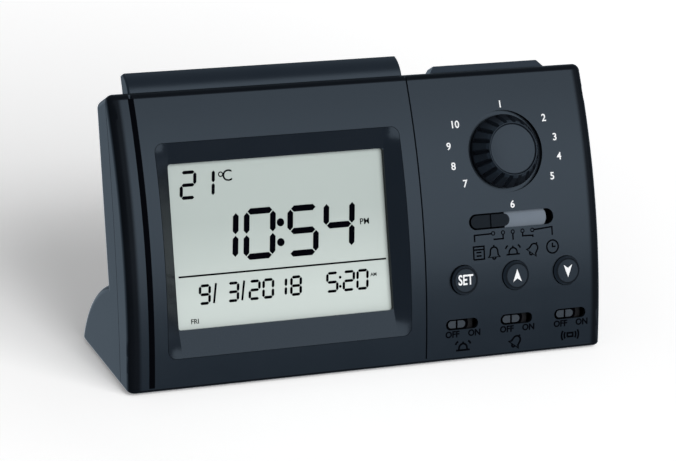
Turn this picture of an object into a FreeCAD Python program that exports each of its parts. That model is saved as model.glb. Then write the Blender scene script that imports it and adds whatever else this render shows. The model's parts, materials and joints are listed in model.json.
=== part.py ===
import FreeCAD, Part
import math
import os

# A slab shaped alarm clock that leans back on a battery foot.
# X runs along the width, Y runs to the back, Z is up, sizes are in millimetres.
# The side outline is drawn in the YZ plane from the foot of the curved face.

V = FreeCAD.Vector

# Case outline
CASE_WIDTH = 149.0
CASE_WALL = 2.2
FOOT_PROUD = 0.8
FACE_RADIUS = 185.6
FACE_LEAN = 11.9
FACE_LENGTH = 84.3
BACK_TILT = 0.7
SLAB_DEPTH = 15.2
FOOT_TOP_Z = 24.0
FOOT_REAR_Y = 37.2
FOOT_REAR_Z = 2.3
FOOT_BULGE = 3.2
EDGE_ROUND = 2.2
BOTTOM_ROUND = 0.9
SEAM_FOOT_Y = 6.6
SEAM_LEAN = 16.8
SEAM_RADIUS = 486.0
SEAM_GAP = 0.2

# Face layout, x from the middle and s along the curved face
CONTROL_WIDTH = 57.4
DIVIDER_X = CASE_WIDTH / 2 - CONTROL_WIDTH
GROOVE_X = 6.7 - CASE_WIDTH / 2
GROOVE_WIDTH = 0.8
GROOVE_DEPTH = 0.6
LINE_WIDTH = 0.45
GROOVE_END = 1.6
KNOB_X = CASE_WIDTH / 2 - 28.9
BUTTON_X = (KNOB_X - 16.4, KNOB_X + 0.4, KNOB_X + 17.1)
SWITCH_X = (KNOB_X - 17.1, KNOB_X + 0.6, KNOB_X + 18.3)
MODE_X = KNOB_X - 0.1

# The rows of controls share the length of the face
SWITCH_S = 0.128 * FACE_LENGTH
BUTTON_S = 0.28 * FACE_LENGTH
MODE_S = 0.473 * FACE_LENGTH
KNOB_S = 0.708 * FACE_LENGTH

# Display bezel and the layers behind it
BEZEL_LEFT = 11.7 - CASE_WIDTH / 2
BEZEL_RIGHT = DIVIDER_X - 4.8
BEZEL_FOOT_S = 9.1
BEZEL_TOP_S = FACE_LENGTH - 15.2
BEZEL_CORNER = 2.5
BEZEL_GAP = 0.12
BEZEL_SIDE_SLOPE = 4.3
BEZEL_FOOT_SLOPE = 7.6
BEZEL_TOP_SLOPE = 5.9
BEZEL_DEPTH = 1.7
BEZEL_FLOOR = 1.4
BEZEL_FLANGE = 2.0
FLANGE_THICK = 1.2
WINDOW_CORNER = 0.8
GLASS_BORDER = 2.4
GLASS_THICK = 2.0
GLASS_LEDGE = 4.0
LIGHT_THICK = 2.2
FRAME_WALL = 1.4
FRAME_GAP = 0.1
BOARD_THICK = 1.4
BOARD_DEPTH = 7.8
BOARD_MARGIN = 1.5
BOARD_EDGE = 1.2
MAIN_BOARD_TOP = 28.5
CONTROL_BOARD_DROP = 2.0
CONTROL_BOARD_RISE = 4.5
STRIP_WIDTH = 2.4
STRIP_MARGIN = 5.0
EAR_RADIUS = 2.2
EAR_REACH = 0.7
EAR_RISE = 4.0
CHIP_RADIUS = 5.0
CHIP_CROWN = 3.4
CHIP_HEIGHT = 1.2
CRYSTAL_LENGTH = 6.0
CRYSTAL_WIDTH = 2.0
BOARD_POST_RADIUS = 1.95
BOARD_POST_INSET = 2.25
BOARD_POST_SPACE = 0.55

# Selector knob
WELL_RADIUS = 12.0
WELL_DEPTH = 1.3
WELL_BACK = 1.6
KNOB_RADIUS = 10.7
KNOB_CROWN = 8.4
KNOB_HEIGHT = 6.2
KNOB_SKIRT = 1.0
KNOB_DISH = 0.5
KNOB_RIM = 0.7
KNOB_RIBS = 18
RIB_CUT = 0.65
RIB_WIDTH = 1.5
KNOB_LIFT = 0.3
SHAFT_RADIUS = 3.0
SHAFT_GAP = 0.08
SHAFT_IN_KNOB = 3.6
SHAFT_IN_SWITCH = 3.0
ROTARY_RADIUS = 9.0
ROTARY_HEIGHT = 4.6

# Push buttons
BUTTON_HOLE = 4.4
BUTTON_GAP = 0.2
BUTTON_PROUD = 1.2
BUTTON_FLANK = 0.9
BUTTON_TRAVEL = 0.8
BUTTON_FLANGE = 1.1
BUTTON_COLLAR = 0.7
BUTTON_EDGE = 0.35
STEM_SIZE = 2.8
TACT_SIZE = 6.0
TACT_HEIGHT = 3.2

# Mode slide and on/off slides
MODE_LENGTH = 27.6
MODE_HEIGHT = 4.6
MODE_TRAVEL = 12.8
MODE_PADS = 12.5
SWITCH_LENGTH = 10.4
SWITCH_HEIGHT = 3.1
SWITCH_TRAVEL = 3.6
SWITCH_PADS = 5.5
PAD_SPLIT = 0.6
PAD_END_GAP = 0.9
PAD_SIDE_GAP = 0.5
SLIDE_GAP = 0.25
SLIDE_SINK = 0.4
SLIDE_PLATE = 0.7
SLIDE_OVERLAP = 1.0
SLOT_LIP = 1.1
SHUTTER_END = 1.7
SLIDE_STEM = 1.2

# Top bar and top button
TOP_INSET = 2.4
BAR_DEPTH = 4.8
BAR_LEFT = 7.3 - CASE_WIDTH / 2
BAR_RIGHT = DIVIDER_X + 0.2
BAR_HEIGHT = 6.4
BAR_BELLY = 0.35
BAR_BELLY_RISE = 3.5
BAR_SHOULDER = 2.0
BAR_BACK = 0.7
BAR_STEM_INSET = 19.2
BAR_STEM_X = (BAR_LEFT + BAR_STEM_INSET, BAR_RIGHT - BAR_STEM_INSET)
PAD_LEFT = DIVIDER_X + 8.9
PAD_RIGHT = CASE_WIDTH / 2 - 10.9
PAD_HEIGHT = 2.3
PAD_END_SLOPE = 2.0
PAD_FRONT_SLOPE = 0.7
PAD_STEM_INSET = 9.0
PAD_STEM_X = (PAD_LEFT + PAD_STEM_INSET, PAD_RIGHT - PAD_STEM_INSET)
TOP_END_ROUND = 0.6
TOP_TRAVEL = 1.4
TOP_GAP = 0.3
TOP_SEAT = 1.8
TOP_FLOOR = 1.2
STEM_WIDTH = 5.0
STEM_THICK = 2.0
STEM_DROP = 2.4
STEM_SLIP = 0.2
HOOK_REACH = 0.7
HOOK_HEIGHT = 1.0
TOP_BOARD_THICK = 1.2
TOP_TACT_SIZE = 4.8
TOP_TACT_HEIGHT = 1.6

# Rear cover, speaker and batteries
SPEAKER_X = -26.0
SPEAKER_RISE = 44.5
SPEAKER_RADIUS = 13.0
SPEAKER_RIM = 1.4
MAGNET_DEPTH = 1.2
MAGNET_RADIUS = 7.0
SPEAKER_WALL = 1.2
GRILLE_SLOTS = 7
GRILLE_PITCH = 3.2
GRILLE_SLOT = 1.5
GRILLE_MARGIN = 2.0
BATTERY_RADIUS = 5.15
BATTERY_LENGTH = 43.7
BATTERY_Y = 26.6
BATTERY_Z = 8.6
NUB_RADIUS = 1.9
NUB_LENGTH = 0.8
CONTACT_THICK = 0.4
CONTACT_SIZE = 8.0
SPRING_LENGTH = 6.2
SPRING_RADIUS = 3.2
SPRING_TIP = 2.2
BAY_END = BATTERY_LENGTH + NUB_LENGTH + CONTACT_THICK + SPRING_LENGTH / 2
BAY_WALL = 1.4
BAY_GAP = 0.4
DOOR_END = BAY_END - 6.0
DOOR_FOOT_Z = 3.9
DOOR_TOP_Z = 14.2
DOOR_GAP = 0.3
DOOR_LATCH = 8.0

# Fixings
SCREW_X = CASE_WIDTH / 2 - 5.3
SCREW_LOW_RISE = 10.0
SCREW_HIGH_RISE = FACE_LENGTH - 26.3
SCREW_HEAD = 1.9
SCREW_SHANK = 1.25
SCREW_HEAD_DEPTH = 1.6
SCREW_SINK = 1.2
SCREW_FLOOR = 1.6
SCREW_LENGTH = 9.0
POST_RADIUS = 2.8
BOARD_SCREW_HEAD = 1.7
BOARD_SCREW_HEAD_DEPTH = 1.0
BOARD_SCREW_SHANK = 0.8
BOARD_SCREW_LENGTH = 3.6
HOLE_GAP = 0.15
PILOT_GAP = 0.05
HIDDEN_SIDES = 8
PAD_FOOT_RADIUS = 3.6
PAD_FOOT_X = CASE_WIDTH / 2 - 10.5
PAD_FOOT_FRONT_Y = 12.0
PAD_FOOT_REAR_Y = 31.5

RIGHT_ANGLE = 90.0
FULL_TURN = 360.0


# Side outline of the case

def radians_along(s):
    return math.radians(FACE_LEAN) + s / FACE_RADIUS


def face_point(s, inset=0.0):
    lean = radians_along(s)
    start = math.radians(FACE_LEAN)
    radius = FACE_RADIUS - inset
    y = FACE_RADIUS * math.cos(start) - radius * math.cos(lean)
    z = FOOT_PROUD + radius * math.sin(lean) - FACE_RADIUS * math.sin(start)
    return V(0, y, z)


def slope(lean):
    return V(0, math.sin(math.radians(lean)), math.cos(math.radians(lean)))


def meet(point_a, way_a, point_b, way_b):
    cross = way_a.y * way_b.z - way_a.z * way_b.y
    gap = point_b - point_a
    t = (gap.y * way_b.z - gap.z * way_b.y) / cross
    return point_a + way_a * t


TOP_LEAN = FACE_LEAN + math.degrees(FACE_LENGTH / FACE_RADIUS)
TOP_WAY = V(0, math.cos(math.radians(TOP_LEAN)), -math.sin(math.radians(TOP_LEAN)))
FACE_FOOT = face_point(0)
FACE_TOP = face_point(FACE_LENGTH)
CHORD_FOOT = face_point(BEZEL_FOOT_S)
CHORD_TOP = face_point(BEZEL_TOP_S)
CHORD = CHORD_TOP - CHORD_FOOT
CHORD_LEAN = math.degrees(math.atan2(CHORD.y, CHORD.z))
BACK_LEAN = CHORD_LEAN - BACK_TILT
BACK_WAY = slope(BACK_LEAN)
BACK_IN = V(0, math.cos(math.radians(BACK_LEAN)), -math.sin(math.radians(BACK_LEAN)))
BACK_POINT = CHORD_FOOT + BACK_IN * (SLAB_DEPTH - BEZEL_DEPTH)
REAR_TOP = meet(FACE_TOP, TOP_WAY, BACK_POINT, BACK_WAY)
FOOT_TOP = meet(V(0, 0, FOOT_TOP_Z), V(0, 1, 0), BACK_POINT, BACK_WAY)
FOOT_REAR = V(0, FOOT_REAR_Y, FOOT_REAR_Z)
FOOT_END = V(0, FOOT_REAR_Y, FOOT_PROUD)


def foot_middle():
    along = FOOT_REAR - FOOT_TOP
    out = V(0, -along.z, along.y)
    out.normalize()
    return (FOOT_TOP + FOOT_REAR) * 0.5 + out * FOOT_BULGE


def side_outline():
    middle = face_point(FACE_LENGTH / 2)
    edges = [
        Part.Arc(FACE_FOOT, middle, FACE_TOP).toShape(),
        Part.makeLine(FACE_TOP, REAR_TOP),
        Part.makeLine(REAR_TOP, FOOT_TOP),
        Part.Arc(FOOT_TOP, foot_middle(), FOOT_REAR).toShape(),
        Part.makeLine(FOOT_REAR, FOOT_END),
        Part.makeLine(FOOT_END, FACE_FOOT),
    ]
    return Part.Wire(edges)


def prism(wire, half_width):
    face = Part.Face(wire)
    face.translate(V(-half_width, 0, 0))
    return face.extrude(V(2 * half_width, 0, 0))


def is_low(edge):
    box = edge.BoundBox
    return box.ZMax < FOOT_PROUD + BOTTOM_ROUND / 2


def outer_case():
    case = prism(side_outline(), CASE_WIDTH / 2)
    low = [edge for edge in case.Edges if is_low(edge)]
    foot_line = [edge for edge in case.Edges if touches(edge, FOOT_TOP) and runs_across(edge)]
    rear_line = [edge for edge in case.Edges if touches(edge, FOOT_REAR) and runs_across(edge)]
    kept = low + foot_line + rear_line
    high = [edge for edge in case.Edges if not any(edge.isSame(other) for other in kept)]
    case = case.makeFillet(EDGE_ROUND, high)
    low = [edge for edge in case.Edges if is_low(edge)]
    return case.makeFillet(BOTTOM_ROUND, low)


def touches(edge, point):
    middle = edge.valueAt((edge.FirstParameter + edge.LastParameter) / 2)
    return math.hypot(middle.y - point.y, middle.z - point.z) < EDGE_ROUND / 4


def runs_across(edge):
    return edge.BoundBox.XLength > CASE_WIDTH / 2


def cavity():
    inner = side_outline().makeOffset2D(-CASE_WALL)
    return prism(inner, CASE_WIDTH / 2 - CASE_WALL)


def seam_region(back_shift):
    start = V(0, SEAM_FOOT_Y + back_shift, FOOT_PROUD) - slope(SEAM_LEAN) * CASE_WALL
    turn = math.degrees((FACE_LENGTH + 2 * CASE_WALL) / SEAM_RADIUS)
    half = start + slope(SEAM_LEAN + turn / 4) * chord_of(turn / 2)
    end = start + slope(SEAM_LEAN + turn / 2) * chord_of(turn)
    far = V(0, -CASE_WIDTH, 0)
    edges = [
        Part.Arc(start, half, end).toShape(),
        Part.makeLine(end, end + far),
        Part.makeLine(end + far, start + far),
        Part.makeLine(start + far, start),
    ]
    return prism(Part.Wire(edges), CASE_WIDTH)


def chord_of(turn):
    return 2 * SEAM_RADIUS * math.sin(math.radians(turn) / 2)


# Placing shapes on the curved face, on the display stack, and on the sloping top

def tilted(shape, point, lean, x=0.0):
    turn = FreeCAD.Rotation(V(1, 0, 0), RIGHT_ANGLE - lean)
    moved = shape.copy()
    moved.Placement = FreeCAD.Placement(V(x, point.y, point.z), turn).multiply(moved.Placement)
    return moved


def on_face(shape, x, s, sink=0.0):
    return tilted(shape, face_point(s, sink), math.degrees(radians_along(s)), x)


def on_stack(shape):
    return tilted(shape, CHORD_FOOT, CHORD_LEAN)


def on_back(shape, x, rise):
    point = BACK_POINT + BACK_WAY * rise
    return tilted(shape, point, BACK_LEAN, x)


def on_top(shape):
    return tilted(shape, FACE_TOP, RIGHT_ANGLE + TOP_LEAN)


def box(x0, x1, y0, y1, z0, z1):
    return Part.makeBox(x1 - x0, y1 - y0, z1 - z0, V(x0, y0, z0))


def disc(radius, z0, z1):
    return Part.makeCylinder(radius, z1 - z0, V(0, 0, z0))


def rounded_box(x0, x1, y0, y1, z0, z1, radius):
    block = box(x0, x1, y0, y1, z0, z1)
    upright = [edge for edge in block.Edges if edge.BoundBox.ZLength > (z1 - z0) / 2]
    return block.makeFillet(radius, upright)


def hidden_post(radius, z0, z1):
    # A post or hole inside the case, with few flats
    turns = [2 * math.pi * index / HIDDEN_SIDES for index in range(HIDDEN_SIDES)]
    corners = [V(radius * math.cos(turn), radius * math.sin(turn), z0) for turn in turns]
    return Part.Face(Part.makePolygon(corners + corners[:1])).extrude(V(0, 0, z1 - z0))


def round_ended(x0, x1, height, z0, z1):
    # A block whose two ends are half circles
    r = height / 2
    edges = [
        Part.makeLine(V(x0 + r, -r, z0), V(x1 - r, -r, z0)),
        Part.Arc(V(x1 - r, -r, z0), V(x1, 0, z0), V(x1 - r, r, z0)).toShape(),
        Part.makeLine(V(x1 - r, r, z0), V(x0 + r, r, z0)),
        Part.Arc(V(x0 + r, r, z0), V(x0, 0, z0), V(x0 + r, -r, z0)).toShape(),
    ]
    return Part.Face(Part.Wire(edges)).extrude(V(0, 0, z1 - z0))


def slot_hole(length, height):
    return round_ended(-length / 2, length / 2, height, -2 * CASE_WALL, CASE_WALL)


def revolved(points):
    wire = Part.makePolygon([V(r, 0, z) for r, z in points + points[:1]])
    return Part.Face(wire).revolve(V(0, 0, 0), V(0, 0, 1), FULL_TURN)


def face_depth(rise):
    # How far the curved face stands proud of the chord behind the bezel
    return rise * (CHORD.Length - rise) / (2 * FACE_RADIUS)


def fused(parts):
    whole = parts[0]
    for part in parts[1:]:
        whole = whole.fuse(part)
    return whole.removeSplitter()


def group(solids):
    return Part.makeCompound(solids)


# Front shell

def face_skin(x0, x1, s0, s1, outside, inside):
    # A strip of the curved face between two distances from its surface
    middle = (s0 + s1) / 2
    edges = [
        Part.Arc(face_point(s0, -outside), face_point(middle, -outside), face_point(s1, -outside)).toShape(),
        Part.makeLine(face_point(s1, -outside), face_point(s1, inside)),
        Part.Arc(face_point(s1, inside), face_point(middle, inside), face_point(s0, inside)).toShape(),
        Part.makeLine(face_point(s0, inside), face_point(s0, -outside)),
    ]
    face = Part.Face(Part.Wire(edges))
    face.translate(V(x0, 0, 0))
    return face.extrude(V(x1 - x0, 0, 0))


def bezel_prism(margin, outside, inside):
    corner = BEZEL_CORNER + margin
    block = face_skin(BEZEL_LEFT - margin, BEZEL_RIGHT + margin,
                      BEZEL_FOOT_S - margin, BEZEL_TOP_S + margin, outside, inside)
    upright = [edge for edge in block.Edges if edge.BoundBox.XLength < BEZEL_GAP and is_short(edge)]
    return block.makeFillet(corner, upright)


def is_short(edge):
    return edge.Length < BEZEL_TOP_S / 2


def groove(x, width):
    return face_skin(x - width / 2, x + width / 2, GROOVE_END, FACE_LENGTH + EDGE_ROUND,
                     EDGE_ROUND, GROOVE_DEPTH)


def knob_well():
    well = disc(WELL_RADIUS, -WELL_DEPTH, WELL_DEPTH)
    bore = disc(SHAFT_RADIUS + HOLE_GAP, -WELL_DEPTH - CASE_WALL - WELL_BACK, WELL_DEPTH)
    return on_face(well.fuse(bore), KNOB_X, KNOB_S)


def well_backing():
    back = disc(WELL_RADIUS + CASE_WALL, -WELL_DEPTH - WELL_BACK, -WELL_DEPTH / 2)
    return on_face(back, KNOB_X, KNOB_S)


def board_post(x, rise, top):
    # A post from the face wall back to the control board, with a pilot hole
    post = hidden_post(BOARD_POST_RADIUS, -BOARD_DEPTH, top)
    hole = hidden_post(BOARD_SCREW_SHANK + PILOT_GAP, -BOARD_DEPTH, -BOARD_DEPTH + BOARD_SCREW_LENGTH)
    post.translate(V(x, rise, 0))
    hole.translate(V(x, rise, 0))
    return on_stack(post), on_stack(hole)


def control_board_box():
    x0 = DIVIDER_X + BOARD_MARGIN
    x1 = SCREW_X - POST_RADIUS - BOARD_MARGIN / 2
    y0 = -CONTROL_BOARD_DROP
    y1 = MODE_S - BEZEL_FOOT_S + CONTROL_BOARD_RISE
    return x0, x1, y0, y1


def control_screw_places():
    x0, x1, y0, y1 = control_board_box()
    pocket_half = SWITCH_HEIGHT / 2 + SLIDE_OVERLAP + SLIDE_GAP
    low = SWITCH_S + pocket_half + BOARD_POST_RADIUS + BOARD_POST_SPACE
    high = (BUTTON_S + MODE_S) / 2
    rises = (low - BEZEL_FOOT_S, high - BEZEL_FOOT_S)
    return [(x, rise) for x in (x0 + BOARD_POST_INSET, x1 - BOARD_POST_INSET) for rise in rises]


def case_screw_places():
    return [(x, rise) for x in (-SCREW_X, SCREW_X) for rise in (SCREW_LOW_RISE, SCREW_HIGH_RISE)]


def front_post(x, rise):
    # Stands on the face wall and takes a case screw from behind
    depth = SLAB_DEPTH - BEZEL_DEPTH
    post = hidden_post(POST_RADIUS, SCREW_SINK + SCREW_HEAD_DEPTH + SCREW_FLOOR, depth + 2 * CASE_WALL)
    pilot = hidden_post(SCREW_SHANK + PILOT_GAP, 0, SCREW_SINK + SCREW_LENGTH + HOLE_GAP)
    return on_back(post, x, rise), on_back(pilot, x, rise)


def front_shell(case):
    shell = case.common(seam_region(0)).cut(cavity())
    inside = cavity()
    posts = [front_post(x, rise) for x, rise in case_screw_places()]
    board_posts = [board_post(x, rise, 2 * CASE_WALL) for x, rise in control_screw_places()]
    for post, _ in posts + board_posts:
        shell = shell.fuse(post.common(inside))
    shell = shell.fuse(well_backing().common(inside))
    shell = shell.cut(bezel_prism(BEZEL_GAP, EDGE_ROUND, 2 * CASE_WALL))
    shell = shell.cut(knob_well())
    for _, pilot in posts + board_posts:
        shell = shell.cut(pilot)
    for x in BUTTON_X:
        hole = disc(BUTTON_HOLE, -2 * CASE_WALL, CASE_WALL)
        shell = shell.cut(on_face(hole, x, BUTTON_S))
    for x in SWITCH_X:
        shell = shell.cut(on_face(slot_hole(SWITCH_LENGTH, SWITCH_HEIGHT), x, SWITCH_S))
        shell = shell.cut(slide_pocket(x, SWITCH_S, SWITCH_LENGTH, SWITCH_HEIGHT, SWITCH_TRAVEL, 0))
    shell = shell.cut(on_face(slot_hole(MODE_LENGTH, MODE_HEIGHT), MODE_X, MODE_S))
    shell = shell.cut(slide_pocket(MODE_X, MODE_S, MODE_LENGTH, MODE_HEIGHT, MODE_TRAVEL, MODE_TRAVEL))
    shell = shell.cut(groove(GROOVE_X, GROOVE_WIDTH)).cut(groove(DIVIDER_X, LINE_WIDTH))
    return shell


# Display

def pocket_section(x, floor):
    foot = face_point(BEZEL_FOOT_S)
    top = face_point(BEZEL_TOP_S)
    way = slope(CHORD_LEAN)
    sink = V(0, math.cos(math.radians(CHORD_LEAN)), -math.sin(math.radians(CHORD_LEAN)))
    if floor:
        low = foot + way * BEZEL_FOOT_SLOPE + sink * BEZEL_DEPTH
        high = top - way * BEZEL_TOP_SLOPE + sink * BEZEL_DEPTH
        base = Part.makeLine(low, high)
    else:
        low = face_point(BEZEL_FOOT_S + BEZEL_FOOT_SLOPE)
        high = face_point(BEZEL_TOP_S - BEZEL_TOP_SLOPE)
        base = Part.Arc(low, face_point((BEZEL_FOOT_S + BEZEL_TOP_S) / 2), high).toShape()
    front = sink * -3 * BEZEL_DEPTH
    if floor:
        first = Part.makeLine(foot, low)
        last = Part.makeLine(high, top)
    else:
        first = Part.Arc(foot, face_point(BEZEL_FOOT_S + BEZEL_FOOT_SLOPE / 2), low).toShape()
        last = Part.Arc(high, face_point(BEZEL_TOP_S - BEZEL_TOP_SLOPE / 2), top).toShape()
    edges = [first, base, last,
             Part.makeLine(top, top + front),
             Part.makeLine(top + front, foot + front),
             Part.makeLine(foot + front, foot)]
    wire = Part.Wire(edges)
    wire.translate(V(x, 0, 0))
    return wire


def window_span():
    return BEZEL_LEFT + BEZEL_SIDE_SLOPE, BEZEL_RIGHT - BEZEL_SIDE_SLOPE


def display_pocket():
    x0, x1 = window_span()
    left = Part.makeLoft([pocket_section(BEZEL_LEFT, False), pocket_section(x0, True)], True, True)
    middle = Part.makeLoft([pocket_section(x0, True), pocket_section(x1, True)], True, True)
    right = Part.makeLoft([pocket_section(x1, True), pocket_section(BEZEL_RIGHT, False)], True, True)
    return left.fuse(middle).fuse(right)


def display_bezel():
    body = bezel_prism(0, EDGE_ROUND, 2 * CASE_WALL + BEZEL_DEPTH)
    x_low = BEZEL_LEFT - BEZEL_FLANGE
    x_high = BEZEL_RIGHT + BEZEL_FLANGE
    body = body.common(face_skin(x_low, x_high, 0, FACE_LENGTH, 0, 4 * CASE_WALL))
    back = on_stack(box(x_low, x_high, -BEZEL_FOOT_S, FACE_LENGTH, -BEZEL_DEPTH - BEZEL_FLOOR, 2 * CASE_WALL))
    body = body.common(back)
    body = body.cut(display_pocket())
    x0, x1 = window_span()
    y0, y1 = window_rise()
    window = rounded_box(x0, x1, y0, y1, -3 * CASE_WALL, 0, WINDOW_CORNER)
    body = body.cut(on_stack(window))
    flange = bezel_prism(BEZEL_FLANGE, -CASE_WALL - BEZEL_GAP, CASE_WALL + BEZEL_GAP + FLANGE_THICK)
    flange = flange.cut(bezel_prism(-BEZEL_CORNER / 2, 0, 4 * CASE_WALL)).cut(frame_room())
    return fused([body, flange])


def frame_room():
    # Space for the frame behind the bezel floor
    x0, x1, y0, y1, top = glass_box()
    wall = FRAME_GAP + FRAME_WALL + BEZEL_GAP
    return on_stack(box(x0 - wall, x1 + wall, y0 - wall, y1 + wall, -BOARD_DEPTH, top))


def window_rise():
    return BEZEL_FOOT_SLOPE, CHORD.Length - BEZEL_TOP_SLOPE


def glass_box():
    x0, x1 = window_span()
    y0, y1 = window_rise()
    top = -BEZEL_DEPTH - BEZEL_FLOOR
    return x0 - GLASS_BORDER, x1 + GLASS_BORDER, y0 - GLASS_LEDGE, y1 + GLASS_BORDER, top


def lcd_glass():
    x0, x1, y0, y1, top = glass_box()
    return on_stack(box(x0, x1, y0, y1, top - GLASS_THICK, top))


def backlight_panel():
    x0, x1, y0, y1, top = glass_box()
    low = top - GLASS_THICK
    return on_stack(box(x0, x1, y0 + GLASS_LEDGE, y1, low - LIGHT_THICK, low))


def zebra_strip():
    x0, x1, y0, y1, top = glass_box()
    strip = box(x0 + STRIP_MARGIN, x1 - STRIP_MARGIN, y0 + FRAME_GAP, y0 + STRIP_WIDTH,
                -BOARD_DEPTH, top - GLASS_THICK)
    return on_stack(strip)


def frame_screw_places():
    x0, x1, y0, y1, top = glass_box()
    reach = FRAME_GAP + FRAME_WALL + EAR_REACH
    rises = (y0 + EAR_RISE, MAIN_BOARD_TOP - EAR_RISE)
    return [(x, rise) for rise in rises for x in (x0 - reach, x1 + reach)]


def lcd_frame():
    # An open tray round the glass, with ears that take the board screws
    x0, x1, y0, y1, top = glass_box()
    gap = FRAME_GAP
    wall = FRAME_GAP + FRAME_WALL
    tray = box(x0 - wall, x1 + wall, y0 - wall, y1 + wall, -BOARD_DEPTH, top)
    for x, y in frame_screw_places():
        ear = hidden_post(EAR_RADIUS, -BOARD_DEPTH, top)
        ear.translate(V(x, y, 0))
        tray = tray.fuse(ear)
    tray = tray.cut(box(x0 - gap, x1 + gap, y0 - gap, y1 + gap, -BOARD_DEPTH, top))
    for x, y in frame_screw_places():
        pilot = hidden_post(BOARD_SCREW_SHANK + PILOT_GAP, -BOARD_DEPTH, -BOARD_DEPTH + BOARD_SCREW_LENGTH)
        pilot.translate(V(x, y, 0))
        tray = tray.cut(pilot)
    rib = box(x0 - gap, x1 + gap, y1 - FRAME_WALL, y1 + gap, -BOARD_DEPTH,
              top - GLASS_THICK - LIGHT_THICK)
    return on_stack(tray.fuse(rib).removeSplitter())


# Boards and their screws

def board(x0, x1, y0, y1, screws):
    plate = box(x0, x1, y0, y1, -BOARD_DEPTH - BOARD_THICK, -BOARD_DEPTH)
    for x, y in screws:
        hole = hidden_post(BOARD_SCREW_SHANK + HOLE_GAP, -BOARD_DEPTH - 2 * BOARD_THICK, 0)
        hole.translate(V(x, y, 0))
        plate = plate.cut(hole)
    return on_stack(plate)


def main_board():
    x0, x1, y0, y1, top = glass_box()
    reach = FRAME_GAP + FRAME_WALL + BOARD_SCREW_HEAD + BOARD_EDGE
    return board(x0 - reach, x1 + reach, y0 - FRAME_WALL, MAIN_BOARD_TOP, frame_screw_places())


def main_board_chips():
    # The potted clock chip, and the crystal beside it
    back = -BOARD_DEPTH - BOARD_THICK
    chip_x = (BEZEL_LEFT + BEZEL_RIGHT) / 2
    crystal_x = chip_x + 2 * CHIP_RADIUS
    y0 = MAIN_BOARD_TOP - 2 * CHIP_RADIUS
    chip = Part.makeCone(CHIP_CROWN, CHIP_RADIUS, CHIP_HEIGHT, V(chip_x, y0, back - CHIP_HEIGHT))
    crystal = box(crystal_x, crystal_x + CRYSTAL_LENGTH, y0, y0 + CRYSTAL_WIDTH, back - CHIP_HEIGHT, back)
    return group([on_stack(chip), on_stack(crystal)])


def control_board():
    x0, x1, y0, y1 = control_board_box()
    return board(x0, x1, y0, y1, control_screw_places())


def board_screw(x, y):
    low = -BOARD_DEPTH - BOARD_THICK
    head = hidden_post(BOARD_SCREW_HEAD, low - BOARD_SCREW_HEAD_DEPTH, low)
    shank = hidden_post(BOARD_SCREW_SHANK, low, -BOARD_DEPTH + BOARD_SCREW_LENGTH - HOLE_GAP)
    screw = head.fuse(shank)
    screw.translate(V(x, y, 0))
    return on_stack(screw)


def board_screws():
    places = frame_screw_places() + control_screw_places()
    return group([board_screw(x, y) for x, y in places])


# Selector knob and its switch

def city_knob():
    crown_z = KNOB_HEIGHT - WELL_DEPTH
    base_z = -WELL_DEPTH + KNOB_LIFT
    knob = revolved([
        (0, base_z), (KNOB_RADIUS, base_z), (KNOB_RADIUS, base_z + KNOB_SKIRT),
        (KNOB_CROWN, crown_z - KNOB_RIM), (KNOB_CROWN - KNOB_RIM, crown_z),
        (KNOB_CROWN - 2 * KNOB_RIM, crown_z - KNOB_DISH), (0, crown_z - KNOB_DISH),
    ])
    for index in range(KNOB_RIBS):
        knob = knob.cut(knob_groove(index * FULL_TURN / KNOB_RIBS))
    bore = disc(SHAFT_RADIUS, base_z, base_z + SHAFT_IN_KNOB)
    return on_face(knob.cut(bore), KNOB_X, KNOB_S)


def knob_groove(turn):
    # A V-shaped flute that follows the cone of the skirt
    low = V(KNOB_RADIUS, 0, KNOB_LIFT + KNOB_SKIRT - WELL_DEPTH)
    way = V(KNOB_CROWN, 0, KNOB_HEIGHT - WELL_DEPTH - KNOB_RIM) - low
    out = V(way.z, 0, -way.x)
    out.normalize()
    side = V(0, RIB_WIDTH, 0)
    corners = [low - out * RIB_CUT, low + out * RIB_CUT + side, low + out * RIB_CUT - side]
    flute = Part.Face(Part.makePolygon(corners + corners[:1])).extrude(way * 2)
    flute.rotate(V(0, 0, 0), V(0, 0, 1), turn)
    return flute


def knob_shaft():
    base_z = -WELL_DEPTH + KNOB_LIFT
    foot_z = -WELL_DEPTH - WELL_BACK - SHAFT_IN_SWITCH
    shaft = disc(SHAFT_RADIUS, foot_z, base_z + SHAFT_IN_KNOB)
    return on_face(shaft, KNOB_X, KNOB_S)


def rotary_switch():
    top = -WELL_DEPTH - WELL_BACK
    body = hidden_post(ROTARY_RADIUS, top - ROTARY_HEIGHT, top)
    bore = disc(SHAFT_RADIUS + SHAFT_GAP, top - SHAFT_IN_SWITCH - HOLE_GAP, top)
    return on_face(body.cut(bore), KNOB_X, KNOB_S)


# Push buttons

def push_button(x, cone):
    # A round cap with a retaining flange behind the wall and a stem to its switch
    radius = BUTTON_HOLE - BUTTON_GAP
    crown = radius - (BUTTON_FLANK if cone else BUTTON_EDGE)
    inner = -CASE_WALL - HOLE_GAP
    flank_z = BUTTON_EDGE if cone else BUTTON_PROUD - BUTTON_EDGE
    cap = revolved([
        (0, inner - BUTTON_FLANGE), (radius + BUTTON_COLLAR, inner - BUTTON_FLANGE),
        (radius + BUTTON_COLLAR, inner), (radius, inner),
        (radius, flank_z), (crown, BUTTON_PROUD), (0, BUTTON_PROUD),
    ])
    half = STEM_SIZE / 2
    stem = box(-half, half, -half, half, -stem_depth(), inner - BUTTON_FLANGE)
    return on_face(cap.fuse(stem).removeSplitter(), x, BUTTON_S)


def stem_depth():
    rise = BUTTON_S - BEZEL_FOOT_S
    return BOARD_DEPTH + face_depth(rise) - TACT_HEIGHT - BUTTON_TRAVEL - HOLE_GAP


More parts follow.
